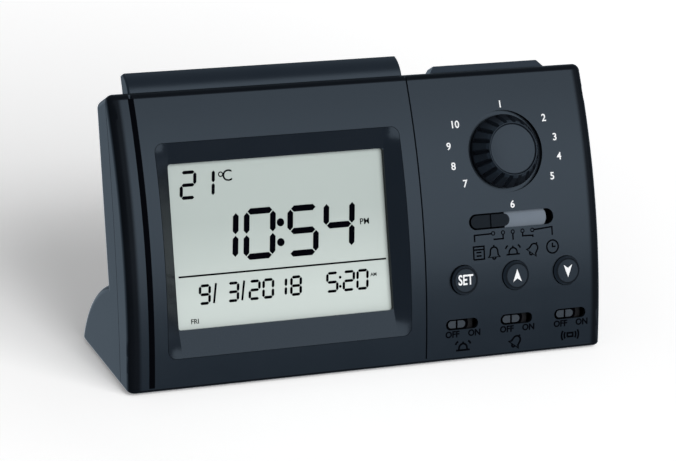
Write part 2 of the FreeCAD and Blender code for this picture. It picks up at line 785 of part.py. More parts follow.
def tact_switches():
    switches = []
    for x in BUTTON_X:
        rise = BUTTON_S - BEZEL_FOOT_S
        half = TACT_SIZE / 2
        body = box(x - half, x + half, rise - half, rise + half, -BOARD_DEPTH, -BOARD_DEPTH + TACT_HEIGHT)
        switches.append(on_stack(body))
    return group(switches)


# Slides

def pads_span(length, pads):
    start = -length / 2 + PAD_END_GAP
    return start, start + pads


def plate_span(length, travel, tail):
    # The plate behind the wall, at the left end of its travel
    start = -length / 2 - SLIDE_OVERLAP
    end = length / 2 - travel + SLIDE_OVERLAP + tail
    return start, end


def slide_pocket(x, s, length, height, travel, tail):
    # The wall is thinner behind a slot, where the plate runs
    start, end = plate_span(length, travel, tail)
    half = height / 2 + SLIDE_OVERLAP + SLIDE_GAP
    return face_skin(x + start - SLIDE_GAP, x + end + travel + SLIDE_GAP, s - half, s + half,
                     -SLOT_LIP, 2 * CASE_WALL)


def slide_plate(length, height, travel, tail):
    start, end = plate_span(length, travel, tail)
    top = -SLOT_LIP - SLIDE_GAP
    return round_ended(start, end, height + 2 * SLIDE_OVERLAP, top - SLIDE_PLATE, top)


def slide_pads(length, height, pads):
    # A round ended finger piece, split by a groove into two pads
    start, end = pads_span(length, pads)
    finger = round_ended(start, end, height - 2 * PAD_SIDE_GAP, -SLOT_LIP - SLIDE_GAP, -SLIDE_SINK)
    middle = (start + end) / 2
    split = box(middle - PAD_SPLIT / 2, middle + PAD_SPLIT / 2, -height, height, -2 * SLIDE_SINK, 0)
    return finger.cut(split)


def slide_stem(length, pads):
    start, end = pads_span(length, pads)
    middle = (start + end) / 2
    half = SLIDE_STEM / 2
    low = -SLOT_LIP - SLIDE_GAP - SLIDE_PLATE
    return box(middle - half, middle + half, -half, half, low - SLIDE_STEM, low)


def on_off_slide(x):
    solids = [slide_pads(SWITCH_LENGTH, SWITCH_HEIGHT, SWITCH_PADS),
              slide_plate(SWITCH_LENGTH, SWITCH_HEIGHT, SWITCH_TRAVEL, 0),
              slide_stem(SWITCH_LENGTH, SWITCH_PADS)]
    return on_face(fused(solids), x, SWITCH_S)


def mode_slide():
    return on_face(slide_pads(MODE_LENGTH, MODE_HEIGHT, MODE_PADS), MODE_X, MODE_S)


def mode_shutter():
    # A pale plate under the pads that keeps the slot closed behind them
    plate = slide_plate(MODE_LENGTH, MODE_HEIGHT, MODE_TRAVEL, MODE_TRAVEL - SHUTTER_END - SLIDE_OVERLAP)
    stem = slide_stem(MODE_LENGTH, MODE_PADS)
    return on_face(plate.fuse(stem).removeSplitter(), MODE_X, MODE_S)


def switch_body(length, travel, pads, depth):
    # A slide switch under the plate, with a slot for the stem
    top = -SLOT_LIP - SLIDE_GAP - SLIDE_PLATE - HOLE_GAP
    start, end = pads_span(length, pads)
    centre = (start + end + travel) / 2
    half = travel / 2 + 2 * SLIDE_STEM
    body = box(centre - half, centre + half, -1.5 * SLIDE_STEM, 1.5 * SLIDE_STEM, -depth, top)
    reach = travel / 2 + SLIDE_STEM / 2 + HOLE_GAP
    slot = box(centre - reach, centre + reach, -SLIDE_STEM / 2 - HOLE_GAP, SLIDE_STEM / 2 + HOLE_GAP,
               top - SLIDE_STEM - HOLE_GAP, top)
    return body.cut(slot)


def board_half_space():
    reach = CASE_WIDTH
    return on_stack(box(-reach, reach, -reach, reach, -BOARD_DEPTH - reach, -BOARD_DEPTH))


def slide_switches():
    bodies = []
    below = board_half_space()
    for x in SWITCH_X:
        body = switch_body(SWITCH_LENGTH, SWITCH_TRAVEL, SWITCH_PADS, 2 * BOARD_DEPTH)
        bodies.append(on_face(body, x, SWITCH_S).cut(below))
    return group(bodies)


def mode_switch():
    body = switch_body(MODE_LENGTH, MODE_TRAVEL, MODE_PADS, 2 * BOARD_DEPTH)
    return on_face(body, MODE_X, MODE_S).cut(board_half_space())


# Top bar and top button

def stems(places):
    top = -TOP_SEAT + TOP_TRAVEL + HOLE_GAP
    middle = TOP_INSET + BAR_DEPTH / 2
    floor = -TOP_SEAT - TOP_FLOOR
    solids = []
    for x in places:
        half = STEM_WIDTH / 2
        solids.append(box(x - half, x + half, middle - STEM_THICK / 2, middle + STEM_THICK / 2,
                          floor - STEM_DROP, top))
        hook = half + HOOK_REACH
        solids.append(box(x - hook, x + hook, middle - STEM_THICK / 2, middle + STEM_THICK / 2,
                          floor - HOLE_GAP - HOOK_HEIGHT, floor - HOLE_GAP))
    return solids


def snooze_bar():
    base = -TOP_SEAT + TOP_TRAVEL + HOLE_GAP
    front = V(BAR_LEFT, TOP_INSET, base)
    belly = V(BAR_LEFT, TOP_INSET + BAR_BELLY, BAR_BELLY_RISE)
    crest = V(BAR_LEFT, TOP_INSET + BAR_SHOULDER, BAR_HEIGHT)
    heel = V(BAR_LEFT, TOP_INSET + BAR_DEPTH - BAR_BACK, BAR_HEIGHT)
    back = V(BAR_LEFT, TOP_INSET + BAR_DEPTH, base)
    edges = [
        Part.Arc(front, belly, crest).toShape(),
        Part.makeLine(crest, heel),
        Part.makeLine(heel, back),
        Part.makeLine(back, front),
    ]
    bar = Part.Face(Part.Wire(edges)).extrude(V(BAR_RIGHT - BAR_LEFT, 0, 0))
    ends = [edge for edge in bar.Edges
            if edge.BoundBox.XLength < TOP_GAP and edge.BoundBox.ZMax > BAR_HEIGHT / 2]
    bar = bar.makeFillet(TOP_END_ROUND, ends)
    return on_top(fused([bar] + stems(BAR_STEM_X)))


def top_button():
    base = -TOP_SEAT + TOP_TRAVEL + HOLE_GAP
    low = Part.makePolygon([V(PAD_LEFT, TOP_INSET, base), V(PAD_RIGHT, TOP_INSET, base),
                            V(PAD_RIGHT, TOP_INSET + BAR_DEPTH, base),
                            V(PAD_LEFT, TOP_INSET + BAR_DEPTH, base), V(PAD_LEFT, TOP_INSET, base)])
    x0 = PAD_LEFT + PAD_END_SLOPE
    x1 = PAD_RIGHT - PAD_END_SLOPE
    y0 = TOP_INSET + PAD_FRONT_SLOPE
    y1 = TOP_INSET + BAR_DEPTH - PAD_FRONT_SLOPE / 2
    high = Part.makePolygon([V(x0, y0, PAD_HEIGHT), V(x1, y0, PAD_HEIGHT), V(x1, y1, PAD_HEIGHT),
                             V(x0, y1, PAD_HEIGHT), V(x0, y0, PAD_HEIGHT)])
    pad = Part.makeLoft([low, high], True, True)
    crown = [edge for edge in pad.Edges if edge.BoundBox.ZMin > PAD_HEIGHT / 2]
    pad = pad.makeFillet(TOP_END_ROUND / 2, crown)
    return on_top(fused([pad] + stems(PAD_STEM_X)))


def top_seats():
    # The recess under each top key, the floor below it and the holes for its stems
    recesses = []
    floors = []
    for x0, x1, places in ((BAR_LEFT, BAR_RIGHT, BAR_STEM_X), (PAD_LEFT, PAD_RIGHT, PAD_STEM_X)):
        y0 = TOP_INSET - TOP_GAP
        y1 = TOP_INSET + BAR_DEPTH + TOP_GAP
        recesses.append(box(x0 - TOP_GAP, x1 + TOP_GAP, y0, y1, -TOP_SEAT, BAR_HEIGHT))
        floors.append(box(x0 - TOP_FLOOR, x1 + TOP_FLOOR, y0 - TOP_FLOOR, y1 + TOP_FLOOR,
                          -TOP_SEAT - TOP_FLOOR, 0))
        middle = TOP_INSET + BAR_DEPTH / 2
        for x in places:
            half = STEM_WIDTH / 2 + STEM_SLIP
            reach = STEM_THICK / 2 + STEM_SLIP
            recesses.append(box(x - half, x + half, middle - reach, middle + reach,
                                -TOP_SEAT - 2 * TOP_FLOOR, 0))
    return [on_top(part) for part in floors], [on_top(part) for part in recesses]


def top_board_span():
    floor = -TOP_SEAT - TOP_FLOOR
    high = floor - STEM_DROP - TOP_TRAVEL - HOLE_GAP - TOP_TACT_HEIGHT
    return BAR_STEM_X[0] - 2 * STEM_WIDTH, PAD_STEM_X[1] + STEM_WIDTH, high


def top_board():
    x0, x1, high = top_board_span()
    plate = box(x0, x1, TOP_INSET + TOP_GAP, TOP_INSET + BAR_DEPTH + TOP_GAP, high - TOP_BOARD_THICK, high)
    return on_top(plate)


def top_board_hangers():
    # Ribs under the seats that the top board is staked to
    x0, x1, high = top_board_span()
    middle = TOP_INSET + BAR_DEPTH / 2
    floor = -TOP_SEAT - TOP_FLOOR
    places = (x0 + STEM_THICK, (BAR_STEM_X[0] + BAR_STEM_X[1]) / 2, (PAD_STEM_X[0] + PAD_STEM_X[1]) / 2)
    return [on_top(box(x - STEM_THICK / 2, x + STEM_THICK / 2, middle - STEM_THICK, middle + STEM_THICK,
                       high, floor + TOP_FLOOR / 2)) for x in places]


def top_tact_switches():
    x0, x1, high = top_board_span()
    middle = TOP_INSET + BAR_DEPTH / 2
    half = TOP_TACT_SIZE / 2
    bodies = [on_top(box(x - half, x + half, middle - half, middle + half, high, high + TOP_TACT_HEIGHT))
              for x in BAR_STEM_X + PAD_STEM_X]
    return group(bodies)


# Rear cover, speaker and batteries

def screw_boss(x, rise):
    # A tube from the back surface to the front post, with a counterbore for the screw head
    floor = SCREW_SINK + SCREW_HEAD_DEPTH + SCREW_FLOOR
    tube = hidden_post(POST_RADIUS, -FOOT_REAR_Y, floor)
    bore = disc(SCREW_HEAD + HOLE_GAP, -FOOT_REAR_Y, SCREW_SINK + SCREW_HEAD_DEPTH)
    hole = hidden_post(SCREW_SHANK + HOLE_GAP, 0, floor + HOLE_GAP)
    return on_back(tube, x, rise), on_back(bore.fuse(hole), x, rise)


def bay_bounds():
    y0 = BATTERY_Y - BATTERY_RADIUS - BAY_GAP
    z0 = BATTERY_Z - BATTERY_RADIUS - BAY_GAP / 2
    z1 = BATTERY_Z + BATTERY_RADIUS + BAY_GAP / 2
    return y0, z0, z1


def bay_block():
    y0, z0, z1 = bay_bounds()
    reach = BAY_END + BAY_WALL
    return box(-reach, reach, y0 - BAY_WALL, FOOT_REAR_Y, FOOT_PROUD, z1 + BAY_WALL)


def bay_hollow():
    y0, z0, z1 = bay_bounds()
    room = box(-BAY_END, BAY_END, y0, FOOT_REAR_Y, z0, z1)
    inner = side_outline().makeOffset2D(-CASE_WALL)
    return room.common(prism(inner, CASE_WIDTH / 2))


def door_box(margin):
    y0 = BATTERY_Y
    return box(-DOOR_END - margin, DOOR_END + margin, y0, 2 * FOOT_REAR_Y,
               DOOR_FOOT_Z - margin, DOOR_TOP_Z + margin)


def latch_box(margin):
    return box(-DOOR_LATCH - margin, DOOR_LATCH + margin, BATTERY_Y, 2 * FOOT_REAR_Y,
               DOOR_TOP_Z, DOOR_TOP_Z + CASE_WALL + margin)


def battery_door(case):
    skin = case.cut(prism(side_outline().makeOffset2D(-CASE_WALL), CASE_WIDTH / 2))
    door = skin.common(door_box(0)).fuse(skin.common(latch_box(0))).removeSplitter()
    return door


def grille_slots():
    solids = []
    reach = SPEAKER_RADIUS - GRILLE_MARGIN
    for index in range(GRILLE_SLOTS):
        y = (index - (GRILLE_SLOTS - 1) / 2) * GRILLE_PITCH
        half = math.sqrt(reach ** 2 - y ** 2)
        slot = box(-half, half, y - GRILLE_SLOT / 2, y + GRILLE_SLOT / 2, -CASE_WALL, 2 * CASE_WALL)
        solids.append(on_back(slot, SPEAKER_X, SPEAKER_RISE))
    return solids


def speaker_ring():
    ring = disc(SPEAKER_RADIUS + HOLE_GAP + SPEAKER_WALL, CASE_WALL / 2, CASE_WALL + SPEAKER_RIM)
    ring = ring.cut(disc(SPEAKER_RADIUS + HOLE_GAP, 0, CASE_WALL + SPEAKER_RIM))
    return on_back(ring, SPEAKER_X, SPEAKER_RISE)


def speaker():
    rim = disc(SPEAKER_RADIUS, CASE_WALL, CASE_WALL + SPEAKER_RIM)
    magnet = disc(MAGNET_RADIUS, CASE_WALL + SPEAKER_RIM, CASE_WALL + SPEAKER_RIM + MAGNET_DEPTH)
    return on_back(rim.fuse(magnet).removeSplitter(), SPEAKER_X, SPEAKER_RISE)


def rear_cover(case):
    shell = case.cut(seam_region(SEAM_GAP)).cut(cavity())
    behind = case.cut(seam_region(SEAM_GAP))
    floors, recesses = top_seats()
    bosses = [screw_boss(x, rise) for x, rise in case_screw_places()]
    added = [bay_block()] + floors + top_board_hangers() + [boss for boss, _ in bosses]
    added.append(speaker_ring())
    for part in added:
        shell = shell.fuse(part.common(behind))
    removed = recesses + [bore for _, bore in bosses] + grille_slots()
    removed += [bay_hollow(), door_box(DOOR_GAP), latch_box(DOOR_GAP)]
    for part in removed:
        shell = shell.cut(part)
    return shell


def along_width(shape, x):
    turned = shape.copy()
    turn = FreeCAD.Rotation(V(0, 1, 0), RIGHT_ANGLE)
    turned.Placement = FreeCAD.Placement(V(x, BATTERY_Y, BATTERY_Z), turn)
    return turned


def batteries():
    cells = []
    pitch = BATTERY_LENGTH + NUB_LENGTH
    for index in range(2):
        cell = disc(BATTERY_RADIUS, 0, BATTERY_LENGTH).fuse(disc(NUB_RADIUS, BATTERY_LENGTH, pitch))
        cells.append(along_width(cell.removeSplitter(), BAY_END - CONTACT_THICK - (index + 1) * pitch))
    return group(cells)


def battery_contacts():
    half = CONTACT_SIZE / 2
    plates = []
    for x in (-BAY_END, BAY_END - CONTACT_THICK):
        plates.append(box(x, x + CONTACT_THICK, BATTERY_Y - half, BATTERY_Y + half,
                          BATTERY_Z - half, BATTERY_Z + half))
    return group(plates)


def battery_spring():
    start = -BAY_END + CONTACT_THICK
    return along_width(Part.makeCone(SPRING_RADIUS, SPRING_TIP, SPRING_LENGTH), start)


def case_screws():
    screws = []
    seat = SCREW_SINK + SCREW_HEAD_DEPTH
    for x, rise in case_screw_places():
        shank = hidden_post(SCREW_SHANK, seat, SCREW_SINK + SCREW_LENGTH)
        screw = disc(SCREW_HEAD, SCREW_SINK, seat).fuse(shank)
        screws.append(on_back(screw.removeSplitter(), x, rise))
    return group(screws)


def rubber_feet():
    pads = []
    for x in (-PAD_FOOT_X, PAD_FOOT_X):
        for y in (PAD_FOOT_FRONT_Y, PAD_FOOT_REAR_Y):
            pad = disc(PAD_FOOT_RADIUS, 0, FOOT_PROUD)
            pad.translate(V(x, y, 0))
            pads.append(pad)
    return group(pads)


def all_parts():
    case = outer_case()
    parts = {
        "front_shell": front_shell(case),
        "rear_cover": rear_cover(case),
        "battery_door": battery_door(case),
        "display_bezel": display_bezel(),
        "lcd_glass": lcd_glass(),
        "backlight_panel": backlight_panel(),
        "zebra_strip": zebra_strip(),
        "lcd_frame": lcd_frame(),
        "main_board": main_board(),
        "main_board_chips": main_board_chips(),
        "control_board": control_board(),
        "board_screws": board_screws(),
        "city_knob": city_knob(),
        "knob_shaft": knob_shaft(),
        "rotary_switch": rotary_switch(),
        "set_button": push_button(BUTTON_X[0], False),
        "up_button": push_button(BUTTON_X[1], True),
        "down_button": push_button(BUTTON_X[2], True),
        "tact_switches": tact_switches(),
        "left_alarm_slide": on_off_slide(SWITCH_X[0]),
        "middle_alarm_slide": on_off_slide(SWITCH_X[1]),
        "right_alarm_slide": on_off_slide(SWITCH_X[2]),
        "slide_switches": slide_switches(),
        "mode_slide": mode_slide(),
        "mode_shutter": mode_shutter(),
        "mode_switch": mode_switch(),
        "snooze_bar": snooze_bar(),
        "top_button": top_button(),
        "top_board": top_board(),
        "top_tact_switches": top_tact_switches(),
        "speaker": speaker(),
        "batteries": batteries(),
        "battery_contacts": battery_contacts(),
        "battery_spring": battery_spring(),
        "case_screws": case_screws(),
        "rubber_feet": rubber_feet(),
    }
    return parts


def main():
    parts = all_parts()
    reach = group(list(parts.values())).optimalBoundingBox(True, False)
    middle = (reach.YMin + reach.YMax) / 2
    os.makedirs("parts", exist_ok=True)
    for name, shape in parts.items():
        placed = shape.copy()
        placed.translate(V(0, -middle, 0))
        placed.exportStep("parts/" + name + ".step")
        print(name, len(placed.Solids), placed.isValid(), round(placed.Volume, 1))
    print("depth centre", round(middle, 3), "box", reach)


main()
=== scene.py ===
import json
import math

import bmesh
import bpy
from mathutils import Matrix, Vector

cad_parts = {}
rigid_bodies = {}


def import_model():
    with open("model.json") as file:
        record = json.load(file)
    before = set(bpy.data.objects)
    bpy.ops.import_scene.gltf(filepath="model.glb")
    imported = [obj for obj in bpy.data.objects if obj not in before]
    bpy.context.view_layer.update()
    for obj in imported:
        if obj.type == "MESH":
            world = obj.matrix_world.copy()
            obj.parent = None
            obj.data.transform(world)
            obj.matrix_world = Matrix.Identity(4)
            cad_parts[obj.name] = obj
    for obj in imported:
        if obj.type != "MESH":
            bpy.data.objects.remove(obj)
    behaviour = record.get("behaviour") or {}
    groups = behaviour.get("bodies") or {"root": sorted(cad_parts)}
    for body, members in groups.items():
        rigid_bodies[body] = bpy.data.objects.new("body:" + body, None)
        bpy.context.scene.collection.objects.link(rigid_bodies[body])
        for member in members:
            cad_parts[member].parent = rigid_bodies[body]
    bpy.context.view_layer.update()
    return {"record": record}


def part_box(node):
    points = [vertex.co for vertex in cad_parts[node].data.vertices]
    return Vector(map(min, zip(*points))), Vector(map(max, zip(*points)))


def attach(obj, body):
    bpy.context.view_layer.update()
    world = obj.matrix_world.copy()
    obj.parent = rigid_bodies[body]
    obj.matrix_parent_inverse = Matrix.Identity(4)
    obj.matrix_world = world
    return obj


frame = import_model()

# Driving sizes of the case, in metres and degrees
MM = 0.001
FACE_RADIUS = 185.6 * MM
FACE_LEAN = 11.9
FOOT_PROUD = 0.8 * MM
BEZEL_FOOT_S = 9.1 * MM
BEZEL_TOP_S = 69.1 * MM
GLASS_DEPTH = 3.1 * MM
KNOB_X = 45.6 * MM
KNOB_S = 59.7 * MM
KNOB_PROUD = 4.4 * MM
BUTTON_S = 23.6 * MM
BUTTON_X = (29.2 * MM, 46.0 * MM, 62.7 * MM)
BUTTON_PROUD = 1.2 * MM
SWITCH_S = 10.8 * MM
SWITCH_X = (28.5 * MM, 46.2 * MM, 63.9 * MM)
INK = 0.03 * MM

# Camera, as fitted to the photograph
IMAGE_WIDTH = 676
FOCAL_PIXELS = 3430.8
CAMERA_TURN = 27.497
CAMERA_RISE = 24.162
CAMERA_ROLL = -7.028
CAMERA_DISTANCE = 0.95135
CAMERA_AIM = (-16.469 * MM, 0.0, 46.111 * MM)
SENSOR_WIDTH = 36.0

JOINTS = {joint["name"]: joint for joint in frame["record"]["behaviour"]["joints"]}


# Places on the curved face and on the display glass

def lean_at(s):
    return math.radians(FACE_LEAN) + s / FACE_RADIUS


def side_point(s):
    start = math.radians(FACE_LEAN)
    y = FACE_RADIUS * (math.cos(start) - math.cos(lean_at(s)))
    z = FOOT_PROUD + FACE_RADIUS * (math.sin(lean_at(s)) - math.sin(start))
    return Vector((0, y, z))


SHIFT_Y = JOINTS["knob_turn"]["pos_m"][1] - side_point(KNOB_S).y


def face_out(s):
    lean = lean_at(s)
    return Vector((0, -math.cos(lean), math.sin(lean)))


def face_up(s):
    lean = lean_at(s)
    return Vector((0, math.sin(lean), math.cos(lean)))


def face_point(x, s, lift=0.0):
    """x runs to the right, s up along the face's arc from its foot, and lift out of the face."""
    point = side_point(s)
    return Vector((x, point.y + SHIFT_Y, point.z)) + face_out(s) * lift


CHORD_FOOT = face_point(0, BEZEL_FOOT_S)
CHORD = face_point(0, BEZEL_TOP_S) - CHORD_FOOT
CHORD_UP = CHORD.normalized()
CHORD_OUT = Vector((0, -CHORD_UP.z, CHORD_UP.y))


def glass_point(x, rise, lift=0.0):
    """The same on the flat display glass, with the rise measured from the bezel's foot."""
    return CHORD_FOOT + Vector((x, 0, 0)) + CHORD_UP * rise + CHORD_OUT * (lift - GLASS_DEPTH)


def flat_map(x0, s0, height):
    """Places flat artwork on a top that stands at a height above the face."""
    up, out = face_up(s0), face_out(s0)
    base = face_point(x0, s0, height)

    def place(x, s, lift):
        return base + Vector((x - x0, 0, 0)) + up * (s - s0) + out * lift
    return place


# Materials: levels and colours

COOL = (0.66, 0.83, 1.0)
SHEEN_SCALE = 0.45
GRAIN_DEPTH = 0.05 * MM
CLOUD_SCALE = 60
# Painted shade: the display glass is lighter at its foot and darker toward its top.
LCD_FOOT = (0.45, 0.50, 0.475)
LCD_TOP = (0.335, 0.38, 0.36)
LCD_CLOUD = 0.12
LCD_GRAIN = 0.03
LCD_GRAIN_DEPTH = 0.02 * MM

# Painted shade on the case: less sheen on rounded edges, on the top of the face and on a band near each
# side, by the way they face and by their distance from the middle
ROUND_SHEEN = 0.12
TOP_PAINTED_SHADE = 0.22
SHADE_BAND_INNER = 70.4 * MM
SHADE_BAND_OUTER = 71.9 * MM

# Shadow inside the slots
SLIDE_DEPTH = 0.57 * MM
SLIDE_FADE = 0.05 * MM
SLIDE_SHADOW = (0.001, 0.001, 0.0015)
PAD_RIGHT_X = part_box("mode_slide")[1][0]
SHUTTER_DARK_TO = PAD_RIGHT_X - 1.2 * MM
SHUTTER_FADE = 0.1 * MM
SHUTTER_SHADOW = (0.0015, 0.0015, 0.002)
SHUTTER_SHEEN = 0.3


def new_material(name):
    material = bpy.data.materials.new(name)
    material.use_nodes = True
    tree = material.node_tree
    return material, tree, tree.nodes["Principled BSDF"]


def noise_node(tree, scale, detail=3.0):
    place = tree.nodes.new("ShaderNodeTexCoord")
    noise = tree.nodes.new("ShaderNodeTexNoise")
    noise.inputs["Scale"].default_value = scale
    noise.inputs["Detail"].default_value = detail
    tree.links.new(place.outputs["Object"], noise.inputs["Vector"])
    return noise


def ramp_node(tree, source, low, high):
    ramp = tree.nodes.new("ShaderNodeValToRGB")
    ramp.color_ramp.elements[0].color = (*low, 1)
    ramp.color_ramp.elements[1].color = (*high, 1)
    ramp.color_ramp.elements[0].position = 0.3
    ramp.color_ramp.elements[1].position = 0.7
    tree.links.new(source, ramp.inputs["Fac"])
    return ramp


def range_node(tree, source, low, high):
    scaled = tree.nodes.new("ShaderNodeMapRange")
    scaled.inputs["To Min"].default_value = low
    scaled.inputs["To Max"].default_value = high
    tree.links.new(source, scaled.inputs["Value"])
    return scaled


def bump_node(tree, shader, speck, strength, depth):
    bump = tree.nodes.new("ShaderNodeBump")
    bump.inputs["Strength"].default_value = strength
    bump.inputs["Distance"].default_value = depth
    tree.links.new(speck.outputs["Fac"], bump.inputs["Height"])
    tree.links.new(bump.outputs["Normal"], shader.inputs["Normal"])


def moulded(name, low, high, rough, grain=0.04, grain_scale=9000, specular=0.5, wear=0.03,
            tint=None):
    """Moulded plastic with a fine spark-eroded grain and a faintly uneven sheen."""
    material, tree, shader = new_material(name)
    cloud = noise_node(tree, CLOUD_SCALE)
    speck = noise_node(tree, grain_scale, 2.0)
    tone = ramp_node(tree, cloud.outputs["Fac"], low, high)
    tree.links.new(tone.outputs["Color"], shader.inputs["Base Color"])
    sheen = range_node(tree, cloud.outputs["Fac"], rough - wear, rough + wear)
    tree.links.new(sheen.outputs["Result"], shader.inputs["Roughness"])
    bump_node(tree, shader, speck, grain, GRAIN_DEPTH)
    shader.inputs["Specular IOR Level"].default_value = specular * SHEEN_SCALE
    if tint:
        shader.inputs["Specular Tint"].default_value = (*tint, 1)
    return material


def step_node(tree, source, low, high, kind="SMOOTHSTEP"):
    step = tree.nodes.new("ShaderNodeMapRange")
    step.interpolation_type = kind
    step.inputs["From Min"].default_value = low
    step.inputs["From Max"].default_value = high
    tree.links.new(source, step.inputs["Value"])
    return step.outputs["Result"]


def math_node(tree, operation, *values):
    """A sum of two or three sockets or plain numbers."""
    node = tree.nodes.new("ShaderNodeMath")
    node.operation = operation
    for socket, value in zip(node.inputs, values):
        if isinstance(value, float):
            socket.default_value = value
        else:
            tree.links.new(value, socket)
    return node.outputs["Value"]


def axes_node(tree, source):
    split = tree.nodes.new("ShaderNodeSeparateXYZ")
    tree.links.new(source, split.inputs["Vector"])
    return split.outputs


def paint_shade_on_rounds(material):
    """Painted shade: rounded edges, the top of the face and a band near each side keep less sheen than
    the face, the side walls and the back, so they read dark.
    """
    tree = material.node_tree
    sheen = tree.nodes["Principled BSDF"].inputs["Specular IOR Level"]

    def one_less(value):
        return math_node(tree, "SUBTRACT", 1.0, value)

    def product(first, second):
        return math_node(tree, "MULTIPLY", first, second)

    facing = axes_node(tree, tree.nodes.new("ShaderNodeNewGeometry").outputs["Normal"])
    sideways = math_node(tree, "ABSOLUTE", facing["X"])
    wall = step_node(tree, sideways, 0.85, 0.97)
    front = one_less(step_node(tree, sideways, 0.12, 0.4))
    front = product(front, one_less(product(step_node(tree, facing["Z"], 0.48, 0.62), TOP_PAINTED_SHADE)))
    low = step_node(tree, facing["Z"], 0.02, 0.19)
    high = one_less(step_node(tree, facing["Z"], 0.62, 0.72))
    place = axes_node(tree, tree.nodes.new("ShaderNodeTexCoord").outputs["Object"])
    off_centre = math_node(tree, "ABSOLUTE", place["X"])
    inner = one_less(step_node(tree, off_centre, SHADE_BAND_INNER, SHADE_BAND_OUTER))
    face = product(product(front, product(low, high)), inner)
    back = step_node(tree, facing["Y"], 0.75, 0.9)
    flat = math_node(tree, "MAXIMUM", math_node(tree, "MAXIMUM", wall, face), back)
    share = math_node(tree, "MULTIPLY_ADD", flat, 1.0 - ROUND_SHEEN, ROUND_SHEEN)
    tree.links.new(product(share, sheen.default_value), sheen)
    return material


def shadow_where(material, lit, shadow, sheen):
    """Fades the colour to a shadow and the sheen to nothing where lit is 0."""
    tree = material.node_tree
    shader = tree.nodes["Principled BSDF"]
    mix = tree.nodes.new("ShaderNodeMix")
    mix.data_type = "RGBA"
    mix.inputs["A"].default_value = (*shadow, 1)
    tree.links.new(lit, mix.inputs["Factor"])
    tree.links.new(shader.inputs["Base Color"].links[0].from_socket, mix.inputs["B"])
    tree.links.new(mix.outputs["Result"], shader.inputs["Base Color"])
    tree.links.new(math_node(tree, "MULTIPLY", lit, sheen), shader.inputs["Specular IOR Level"])
    return material


def dark_left_of(material, edge):
    """Shadow under the mode slide's pads, up to a place along the shutter."""
    tree = material.node_tree
    place = axes_node(tree, tree.nodes.new("ShaderNodeTexCoord").outputs["Object"])
    lit = step_node(tree, place["X"], edge - SHUTTER_FADE, edge + SHUTTER_FADE)
    return shadow_where(material, lit, SHUTTER_SHADOW, SHUTTER_SHEEN)


def shade_below(material, s, depth):
    """Painted shade: darkens what lies deeper than a distance under the face, such as a slide's back
    plate.
    """
    tree = material.node_tree
    level = face_point(0, s, -depth).dot(face_out(s))
    place = tree.nodes.new("ShaderNodeTexCoord")
    along = tree.nodes.new("ShaderNodeVectorMath")
    along.operation = "DOT_PRODUCT"
    along.inputs[1].default_value = face_out(s)
    tree.links.new(place.outputs["Object"], along.inputs[0])
    lit = step_node(tree, along.outputs["Value"], level - SLIDE_FADE, level + SLIDE_FADE, "LINEAR")
    sheen = tree.nodes["Principled BSDF"].inputs["Specular IOR Level"].default_value
    return shadow_where(material, lit, SLIDE_SHADOW, sheen)


def glass_material():
    """The matt polariser over a reflective display: pale grey-green, with painted shade that makes it
    darker toward the top.
    """
    material, tree, shader = new_material("display_glass_shaded_finish")
    place = axes_node(tree, tree.nodes.new("ShaderNodeTexCoord").outputs["Object"])
    foot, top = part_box("lcd_glass")
    height = step_node(tree, place["Z"], foot[2], top[2], "LINEAR")
    cloud = noise_node(tree, 35)
    mixed = math_node(tree, "MULTIPLY_ADD", cloud.outputs["Fac"], LCD_CLOUD, height)
    tone = ramp_node(tree, mixed, LCD_FOOT, LCD_TOP)
    tree.links.new(tone.outputs["Color"], shader.inputs["Base Color"])
    bump_node(tree, shader, noise_node(tree, 14000, 1.0), LCD_GRAIN, LCD_GRAIN_DEPTH)
    shader.inputs["Roughness"].default_value = 0.42
    shader.inputs["Specular IOR Level"].default_value = 0.35
    return material


def metal_material():
    material, tree, shader = new_material("zinc_steel")
    scratch = noise_node(tree, 900, 6.0)
    tone = ramp_node(tree, scratch.outputs["Fac"], (0.42, 0.43, 0.45), (0.62, 0.62, 0.63))
    tree.links.new(tone.outputs["Color"], shader.inputs["Base Color"])
    sheen = range_node(tree, scratch.outputs["Fac"], 0.25, 0.45)
    tree.links.new(sheen.outputs["Result"], shader.inputs["Roughness"])
    shader.inputs["Metallic"].default_value = 1.0
    return material


DEEP_BLACK = ((0.003, 0.0035, 0.005), (0.004, 0.0045, 0.006))

# Painted shade: the case black loses its sheen on rounded edges, on the top of the face and near each
# side.
case_black = paint_shade_on_rounds(moulded("case_black_painted_shade_finish", (0.003, 0.0037, 0.005),
                                 (0.004, 0.0048, 0.0065), 0.31, tint=COOL))
bezel_black = moulded("bezel_black_finish", *DEEP_BLACK, 0.24, 0.02, specular=0.4, tint=COOL)
key_black = moulded("key_black_finish", *DEEP_BLACK, 0.3, tint=COOL)
# Painted light: a lighter copy of the key black, so that the top key reads brighter.
top_key_lit_black = moulded("top_key_painted_light", (0.014, 0.018, 0.024), (0.018, 0.022, 0.028), 0.4,
                        tint=COOL)
knob_black = moulded("knob_finish", *DEEP_BLACK, 0.3, 0.06, 6000, tint=COOL)
# The mode pads' own dark; the same finish paints the shade ring round each key's top.
pad_and_rim_shade_dark = moulded("mode_pad_and_rim_shade_finish", (0.002, 0.0025, 0.0035), (0.003, 0.0035, 0.0045), 0.35,
                   specular=0.14, tint=COOL)
# Painted highlight and shade: the alarm slides' pads are a lighter grey standing in for the highlights
# on their tops, and go dark where they lie deeper than the slot.
slide_highlight_grey = shade_below(moulded("slide_pad_painted_highlight_and_shade", (0.022, 0.025, 0.029), (0.03, 0.033, 0.037),
                                 0.35, tint=COOL), SWITCH_S, SLIDE_DEPTH)
